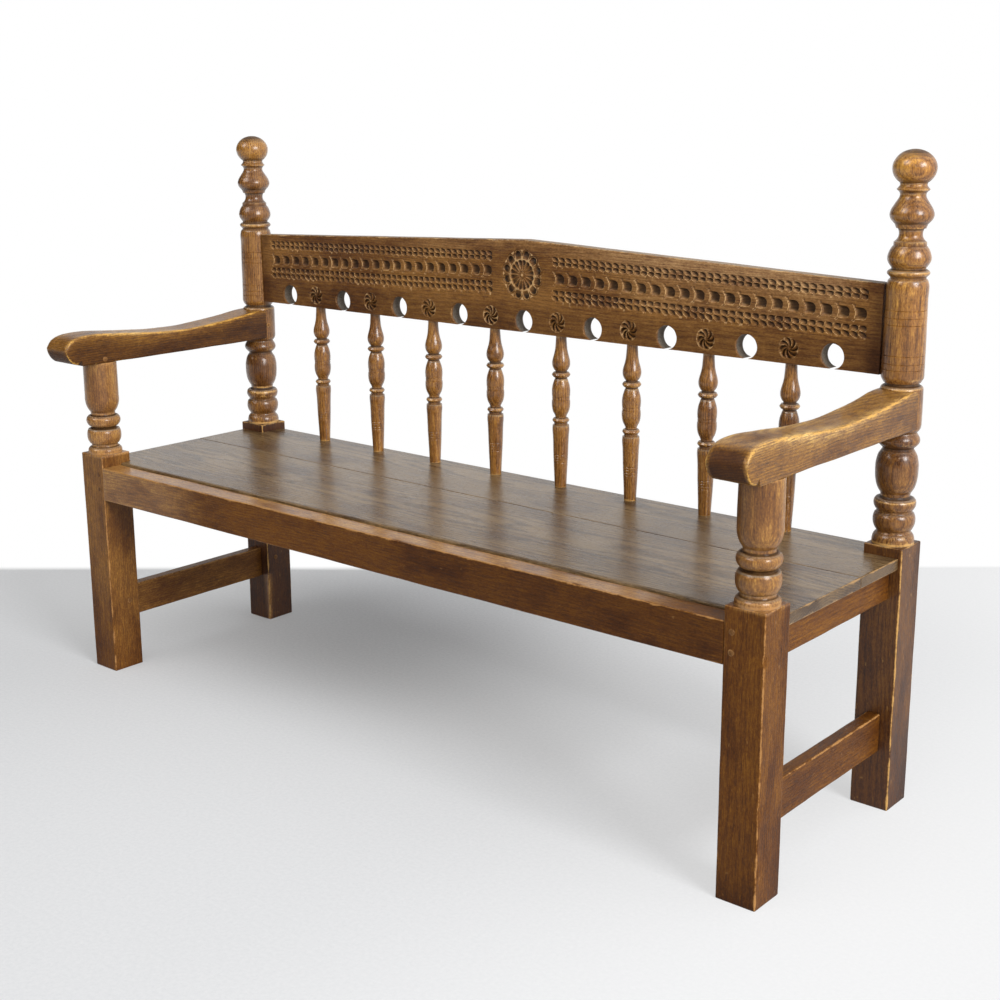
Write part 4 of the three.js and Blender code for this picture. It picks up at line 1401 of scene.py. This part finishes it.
def cell_edge(slit=0.0):
    """From the bottom, up the left side, over the top and down the right side to the bottom."""
    bottom = np.linspace((-slit, crest_low), (-cell_half, crest_low), 9)[:-1]
    left = np.linspace((-cell_half, crest_low), (-cell_half, cell_top), 17)[:-1]
    top = np.linspace((-cell_half, cell_top), (0, cell_top), 25)
    first = np.concatenate([bottom, left, top])
    return np.concatenate([first, first[-2::-1] * (-1, 1)])


def compass(angles):
    """Places on a circle of radius 1."""
    return np.stack([np.cos(angles), np.sin(angles)], -1)


def sheet_at(flat, depth):
    """Places of the board's face, sunk by a depth."""
    return triples(flat[:, 0], face_y + np.asarray(depth), flat[:, 1])


def under_strip(skin, bottoms):
    """The board's underside below a line of places."""
    lines = np.array([sheet_at(bottoms, depth) for depth in edge_lines])
    marks = np.zeros_like(lines)
    marks[[0, -1], :, 0] = 0.4
    skin.lay(lines, marks)


# %% The pierced cell
def hole_cell():
    """The rim of the hole is a full circle, but for the slit where it breaks the lower edge."""
    skin = Skin()
    above = hole_z - crest_low
    slit = math.sqrt(hole_r ** 2 - above ** 2)
    edge = cell_edge(slit)
    start = math.atan2(-above, -slit)
    angles = np.linspace(start, start - 2 * math.pi + 2 * math.atan2(slit, above), cell_ring + 1)
    round_way = compass(angles)
    room = above / np.clip(-round_way[:, 1], 1e-6, 1)
    free = np.clip((room - hole_r) / 6, 0, 1)

    def ring(wider=0.0):
        return np.array([0, hole_z]) + round_way * (hole_r + wider * free)[:, None]

    rows = [sheet_at(edge, 0), sheet_at(edge + (ring(5) - edge) * 0.5, 0), sheet_at(ring(5), 0)]
    notes = [(0, 0, 0)] * 3
    for reach, depth, rub in ((1.9, 0, 0.1), (0.7, 0.18, 0.45), (0.15, 0.8, 0.5), (0, 2.0, 0.1)):
        rows.append(sheet_at(ring(reach), depth))
        notes.append((rub, 0, 0.1))
    for depth in edge_lines[4:8]:
        rows.append(sheet_at(ring(), depth))
        notes.append((0, 0.8, 0.5))
    rows += [sheet_at(ring(1.2), crest_thick), sheet_at(edge, crest_thick)]
    notes += [(0.4, 0, 0), (0, 0, 0)]
    skin.lay(np.array(rows), np.array(notes)[:, None])
    bottoms = edge[np.isclose(edge[:, 1], crest_low)]
    for part in (bottoms[bottoms[:, 0] < 0], bottoms[bottoms[:, 0] > 0]):
        under_strip(skin, part)
    return skin


# %% The rosette cell
def whirl_cell():
    """Eight curved gouges: each is steep on its clockwise side and sweeps back as it goes out."""
    skin = Skin()
    edge = cell_edge()[:-1]
    angles = -math.pi / 2 - np.arange(cell_ring) * 2 * math.pi / cell_ring
    centre = np.array([0, whirl_z])
    radii = np.concatenate([[20.5, 19.6], np.linspace(whirl_r, 2.2, 15), [1.2, 0]])
    halfway = edge + (centre + 20.5 * compass(angles) - edge) * 0.55
    rows = [sheet_at(edge, 0), sheet_at(halfway, 0)]
    notes = [np.zeros((cell_ring, 3))] * 2
    side = 1 - np.arange(cell_ring) / 12 % 1
    shape = soft(side / 0.24) * (1 - soft((side - 0.2) / 0.8)) * 1.25
    for radius in radii:
        reach = radius / whirl_r
        swept = angles + 1.15 * (reach - 1)
        outer = soft((1.0 - reach - 0.10 * np.abs(2 * side - 0.7)) / 0.16)
        depth = 3.2 * shape * outer * soft((reach - 0.06) / 0.16)
        rows.append(sheet_at(centre + radius * compass(swept), depth))
        # The gouges darken with depth, as grime and painted shade, and the ridges between them are
        # rubbed.
        rub, grime_and_painted_shade = 0.75 * (depth < 0.3) * (radius < 19), 0.85 * np.clip(depth / 3.2, 0, 1)
        notes.append(triples(rub, grime_and_painted_shade, 0))
    skin.lay(np.array(rows), np.array(notes), closed=True)
    bottoms = edge[np.isclose(edge[:, 1], crest_low), 0]
    under_strip(skin, np.array([(x, crest_low) for x in np.unique(np.round(bottoms, 6))]))
    inner = centre + (edge - centre) * 0.5
    skin.lay(np.array([sheet_at(edge, crest_thick), sheet_at(inner, crest_thick)]), closed=True)
    skin.cap(sheet_at(inner, crest_thick))
    return skin


# %% Set the cells out along the crest
holes = [((i - 4) * bay, 0, 0) for i in range(9)]
whirls = [((i - 3.5) * bay, 0, 0) for i in range(8)]
crest.add(set_out(hole_cell(), holes, "oak_crest"))
crest.add(set_out(whirl_cell(), whirls, "oak_crest"))
print("places after the cells:", crest.count)


# %% [markdown]
# What is left is plain board: two short ends, the seam between cells and bands, the back, the top
# edge and the two end faces. Lines of places that don't match are zipped together with triangles,
# so the whole board is one closed skin.

# %% Close the board
def close_board(skin):
    """Lays what no cut reaches, and caps both ends."""
    over_cell = cell_edge()[24:73, 0]
    cells = np.concatenate([x + over_cell for x in (np.arange(17) - 8) * bay / 2])
    low_heights = np.linspace(crest_low, cell_top, 17)
    ends = [np.linspace(-crest_end, -17 * cell_half, 8), np.linspace(17 * cell_half, crest_end, 8)]
    for columns in ends:
        x, z = np.meshgrid(columns, low_heights)
        for depth in (0, crest_thick):
            skin.lay(triples(x, face_y + depth, z))
        x, depth = np.meshgrid(columns, edge_lines)
        skin.lay(triples(x, face_y + depth, crest_low))
    seam_low = np.unique(np.round(np.concatenate([ends[0], cells, ends[1]]), 5))
    seam_high = np.concatenate([half_columns["left"], centre_columns[1:-1], half_columns["right"]])
    for y in (face_y, face_y + crest_thick):
        skin.zip([(x, y, cell_top) for x in seam_low], [(x, y, seam_z) for x in seam_high], 0)
    top = crest_top(seam_high)
    rows = [(crest_thick, seam_z + (top - seam_z) * share, 0) for share in (0, 0.25, 0.5, 0.75)]
    for depth, drop, rub in (
        (crest_thick, 6, 0), (crest_thick, 2.2, 0.5), (crest_thick - 0.9, 0.25, 0.9),
        (crest_thick - 2.2, 0, 0.5), (18, 0, 0.1), (8, 0, 0.15), (2.2, 0, 0.6),
    ):
        rows.append((depth, top - drop, rub))
    grid = np.array([triples(seam_high, face_y + depth, z) for depth, z, _ in rows])
    marks = np.zeros_like(grid)
    marks[..., 0] = np.array([rub for _, _, rub in rows])[:, None]
    marks[-3:, :, 2] = 0.8
    skin.lay(grid, marks)
    for side, sign in sides.items():
        x = sign * crest_end
        heights = crest_rows(side, [x])[:, 0]
        depth, _ = depth_at_edge(len(heights))
        front = [(x, face_y, z) for z in low_heights]
        front += [(x, face_y + d, z) for z, d in zip(heights, depth)]
        back = [(x, face_y + crest_thick, z) for z in low_heights]
        back += [tuple(p) for p in grid[:, 0 if sign < 0 else -1]]
        below = [(x, face_y + d, crest_low) for d in edge_lines[-2:0:-1]]
        skin.cap(front + back[::-1][1:] + below)


close_board(crest)


# %% Finish the crest
def hand_cut(places):
    """The hand's small wander: cuts shift a little, and the board's face is planed by eye."""
    moved = planed(31, 0.18)(places)
    depth = np.clip((places[:, 1] - face_y) / 1.5, 0, 1) * (places[:, 1] < face_y + 7)
    moved[:, 0] += 0.45 * depth * ripple(places, 16, 41)
    moved[:, 2] += 0.4 * depth * ripple(places, 18, 42)
    return moved


def crest_tone_and_painted_light(places):
    """Gold on the right half, a pale, dusty sheen near the top edge that is partly dust and partly
    painted, painted shade towards the lower edge, and red-brown at both ends.
    """
    x = places[:, 0]
    gold = 0.24 * soft((x - 60) / 260) * soft((700 - x) / 60) * soft((places[:, 2] - 765) / 40)
    # Near the top edge: partly dust, partly a painted sheen.
    dust_and_painted_sheen = 0.26 * soft((places[:, 2] - crest_top(x) + 45) / 35) * soft((x + 650) / 500)
    # Painted shade towards the lower edge.
    low = 0.4 * soft((800 - places[:, 2]) / 40)
    return gold + dust_and_painted_sheen - low - 0.5 * soft((np.abs(x) - 690) / 40)


piece("carved_crest", crest, "oak_crest", ["crest_rail"], "X", (330, 700), 30, hand_cut, crest_tone_and_painted_light)


# %% [markdown]
# ### Pegs
#
# Riven oak pegs lock every tenon: the frame has no nail or screw. They were driven proud and then
# rubbed by a century of wax, so each stands out a hair with a soft, uneven rim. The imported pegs
# say where each one goes.

# %% A peg's head
peg_head = 0.82


def peg_pattern():
    """A peg's head: it stands out a hair, and is not quite round."""
    skin = Skin()
    angles = np.arange(12) * math.pi / 6
    rows = []
    for rise, radius in ((-12, 4.3), (-0.3, 5.3), (0.4, 5), (0.75, 4), (0.8, 2), (peg_head, 0)):
        uneven = radius * (1 + 0.05 * np.sin(3 * angles + 1))
        rows.append(triples(uneven * np.cos(angles), uneven * np.sin(angles), rise))
    rubs, grimes = (0.2, 0.2, 0.8, 0.6, 0.2, 0.2), (0.8, 0.9, 0.1, 0.1, 0.3, 0.4)
    skin.lay(np.array(rows), triples(rubs, grimes, 0)[:, None], closed=True)
    skin.cap(rows[0])
    return skin


# %% Where the pegs go
def peg_places():
    """Each peg's name, where its head stands on its packed box, and the way it faces."""
    rows = []
    for side, sign in sides.items():
        inwards, forwards, backwards = (-sign, 0, 0), (0, -1, 0), (0, 1, 0)
        ways = {
            f"front_rail_peg_{side}_1": forwards, f"front_rail_peg_{side}_2": forwards,
            f"back_rail_peg_{side}_1": backwards, f"back_rail_peg_{side}_2": backwards,
            f"stretcher_peg_{side}_1": inwards, f"stretcher_peg_{side}_2": inwards,
            f"arm_peg_{side}": inwards, f"arm_end_peg_{side}": inwards,
            f"crest_peg_{side}": backwards,
        }
        for name, way in ways.items():
            low, high = box_of(name)
            place = (low + high) / 2 + way * (high - low) / 2
            place[1] = min(place[1], back_y - peg_head)
            rows.append((name, place, way))
    return rows


# %% The pegs
pegs = peg_places()
turns = [tuple(Vector(way).to_track_quat("Z", "Y").to_euler()) for _, _, way in pegs]
skin = Skin()
skin.add(set_out(peg_pattern(), [place for _, place, _ in pegs], "oak_peg", turns, 0.06, 5))
nodes = [name for name, _, _ in pegs]
piece("pegs", skin, "oak_peg", nodes, "Y", (40, 90), shape=planed(9, 0.05))


# %% [markdown]
# ## The studio
#
# The photograph has a pale floor that runs into a white wall, a broad soft window to the right
# and a little in front, and not much light from the left. The white behind the bench is colour,
# not lamps: the world is white to the camera and to reflections, so a polished seat mirrors it,
# and much dimmer as a lamp. One bright patch of it shows only in gloss, where it makes the small
# highlights of the turnings. The floor keeps the bench's shadow; painted light makes it paler
# towards the wall and the window, and painted shade makes it a little darker to the left.

# %% The floor
def pale_floor(reach=14.0):
    """Pale stone near the bench, with painted light spread over it and painted shade to its left,
    and plain white where it meets the wall.
    """
    corners = [(-reach, -reach, 0), (reach, -reach, 0), (reach, reach, 0), (-reach, reach, 0)]
    mesh = bpy.data.meshes.new("floor")
    mesh.from_pydata(corners, [], [(0, 1, 2, 3)])
    floor = bpy.data.objects.new("floor", mesh)
    scene.collection.objects.link(floor)
    material = bpy.data.materials.new("pale_floor")
    material.use_nodes = True
    material.node_tree.nodes.clear()
    start = Wire(material.node_tree)
    spot = start.node("ShaderNodeTexCoord", None, None, "Object")
    fleck = spot.noise((150.0, 150.0, 150.0), 4.0, 0.75)
    stops = [(0.3, ink("#cfd1d4")), (0.7, ink("#dfe0e2"))]
    tone = start.node("ShaderNodeValToRGB", {"stops": stops}, {0: fleck})
    x = start.node("ShaderNodeSeparateXYZ", None, {0: spot})
    # Painted shade: the floor's colour is a little darker to the left, away from the window.
    tone = tone * (x.ramp(-1.6, 0.2) * (0.16, 0.16, 0.16) + (0.84, 0.84, 0.84))
    bump = start.node("ShaderNodeBump", None, {"Strength": 0.2, "Distance": 0.001, "Height": fleck})
    sockets = {"Base Color": tone, "Roughness": 0.9, "Normal": bump}
    matt = start.node("ShaderNodeBsdfPrincipled", None, sockets)
    seen = start.node("ShaderNodeLightPath", None, None, "Is Camera Ray")
    strength = (seen + seen.output("Is Glossy Ray")) * 0.75 + 0.25
    glow = start.node("ShaderNodeEmission", None, {"Color": ink("#ffffff"), "Strength": strength})
    # How far behind the bench a spot lies for the camera: from a metre on it is white wall.
    away = x.output(1) * 0.772 - x * 0.636
    wall = away.ramp(0.985, 1.045)
    # Painted light on the floor: it glows least just behind the bench's left half, so that the
    # shadow there stays dark, more towards the wall and the window, and less to the left.
    apart = (spot - (-0.5, 0.5, 0.0)).length()
    painted_light_pool = apart.ramp(0.1, 0.8) * (away.ramp(0.2, 1.0) * 0.25 + x.ramp(0.2, 1.0) * 0.34 + 0.28)
    painted_light_pool = painted_light_pool * (x.ramp(-1.6, -0.2) * 0.5 + 0.5) + 0.06
    share = start.node("ShaderNodeMath", {"operation": "MAXIMUM"}, {0: wall, 1: painted_light_pool})
    both = start.node("ShaderNodeMixShader", None, {0: share, 1: matt, 2: glow})
    start.node("ShaderNodeOutputMaterial", None, {0: both})
    mesh.materials.append(material)


pale_floor()


# %% The white world
def white_world(lamp=0.95):
    """White to the camera, a bright patch to gloss, and a soft lamp to everything else."""
    world = bpy.data.worlds.new("white_world")
    scene.world = world
    world.use_nodes = True
    world.node_tree.nodes.clear()
    start = Wire(world.node_tree)
    way = start.node("ShaderNodeTexCoord", None, None, "Generated")
    right = start.node("ShaderNodeSeparateXYZ", None, {0: way})
    back, up = right.output(1), right.output(2)
    mirrored = (back * 0.8 + right * 0.4).ramp(-0.3, 0.2) * 0.95 + 0.05
    mirrored = mirrored + (up * 0.62 - back * 0.72 - right * 0.31).ramp(0.94, 0.985) * 7.0
    soft_light = ((up * 0.5 - back * 0.4 + right * 0.65).ramp(-0.25, 0.9) * 0.95 + 0.06) * lamp
    seen = start.node("ShaderNodeLightPath", None, None, "Is Camera Ray")
    glossy, clear = seen.output("Is Glossy Ray"), seen.output("Is Transmission Ray")
    strength = (1 - seen - glossy - clear) * soft_light + seen + clear + glossy * mirrored
    shader = start.node("ShaderNodeBackground", None, {"Color": (1, 1, 1, 1), "Strength": strength})
    start.node("ShaderNodeOutputWorld", None, {0: shader})


white_world()


# %% The lamps
def soft_lamp(name, place, aim, size, power):
    """A broad lamp of a size in metres and a power in watts."""
    lamp = bpy.data.objects.new(name, bpy.data.lights.new(name, "AREA"))
    lamp.data.shape = "RECTANGLE"
    lamp.data.size, lamp.data.size_y = size
    lamp.data.energy = power
    lamp.location = place
    lamp.rotation_euler = (Vector(aim) - Vector(place)).to_track_quat("-Z", "Y").to_euler()
    scene.collection.objects.link(lamp)
    print(name, power, "W")


soft_lamp("window", place=(6.3, -1.5, 3.6), aim=(0, 0, 0.5), size=(2.6, 2.6), power=400)
soft_lamp("ceiling", place=(-0.2, -1.8, 3.0), aim=(-0.4, 0.4, 0), size=(2.4, 1.6), power=8)


# %% The packed sizes
print("packed", [[round(v, 4) for v in corner] for corner in packed_box])
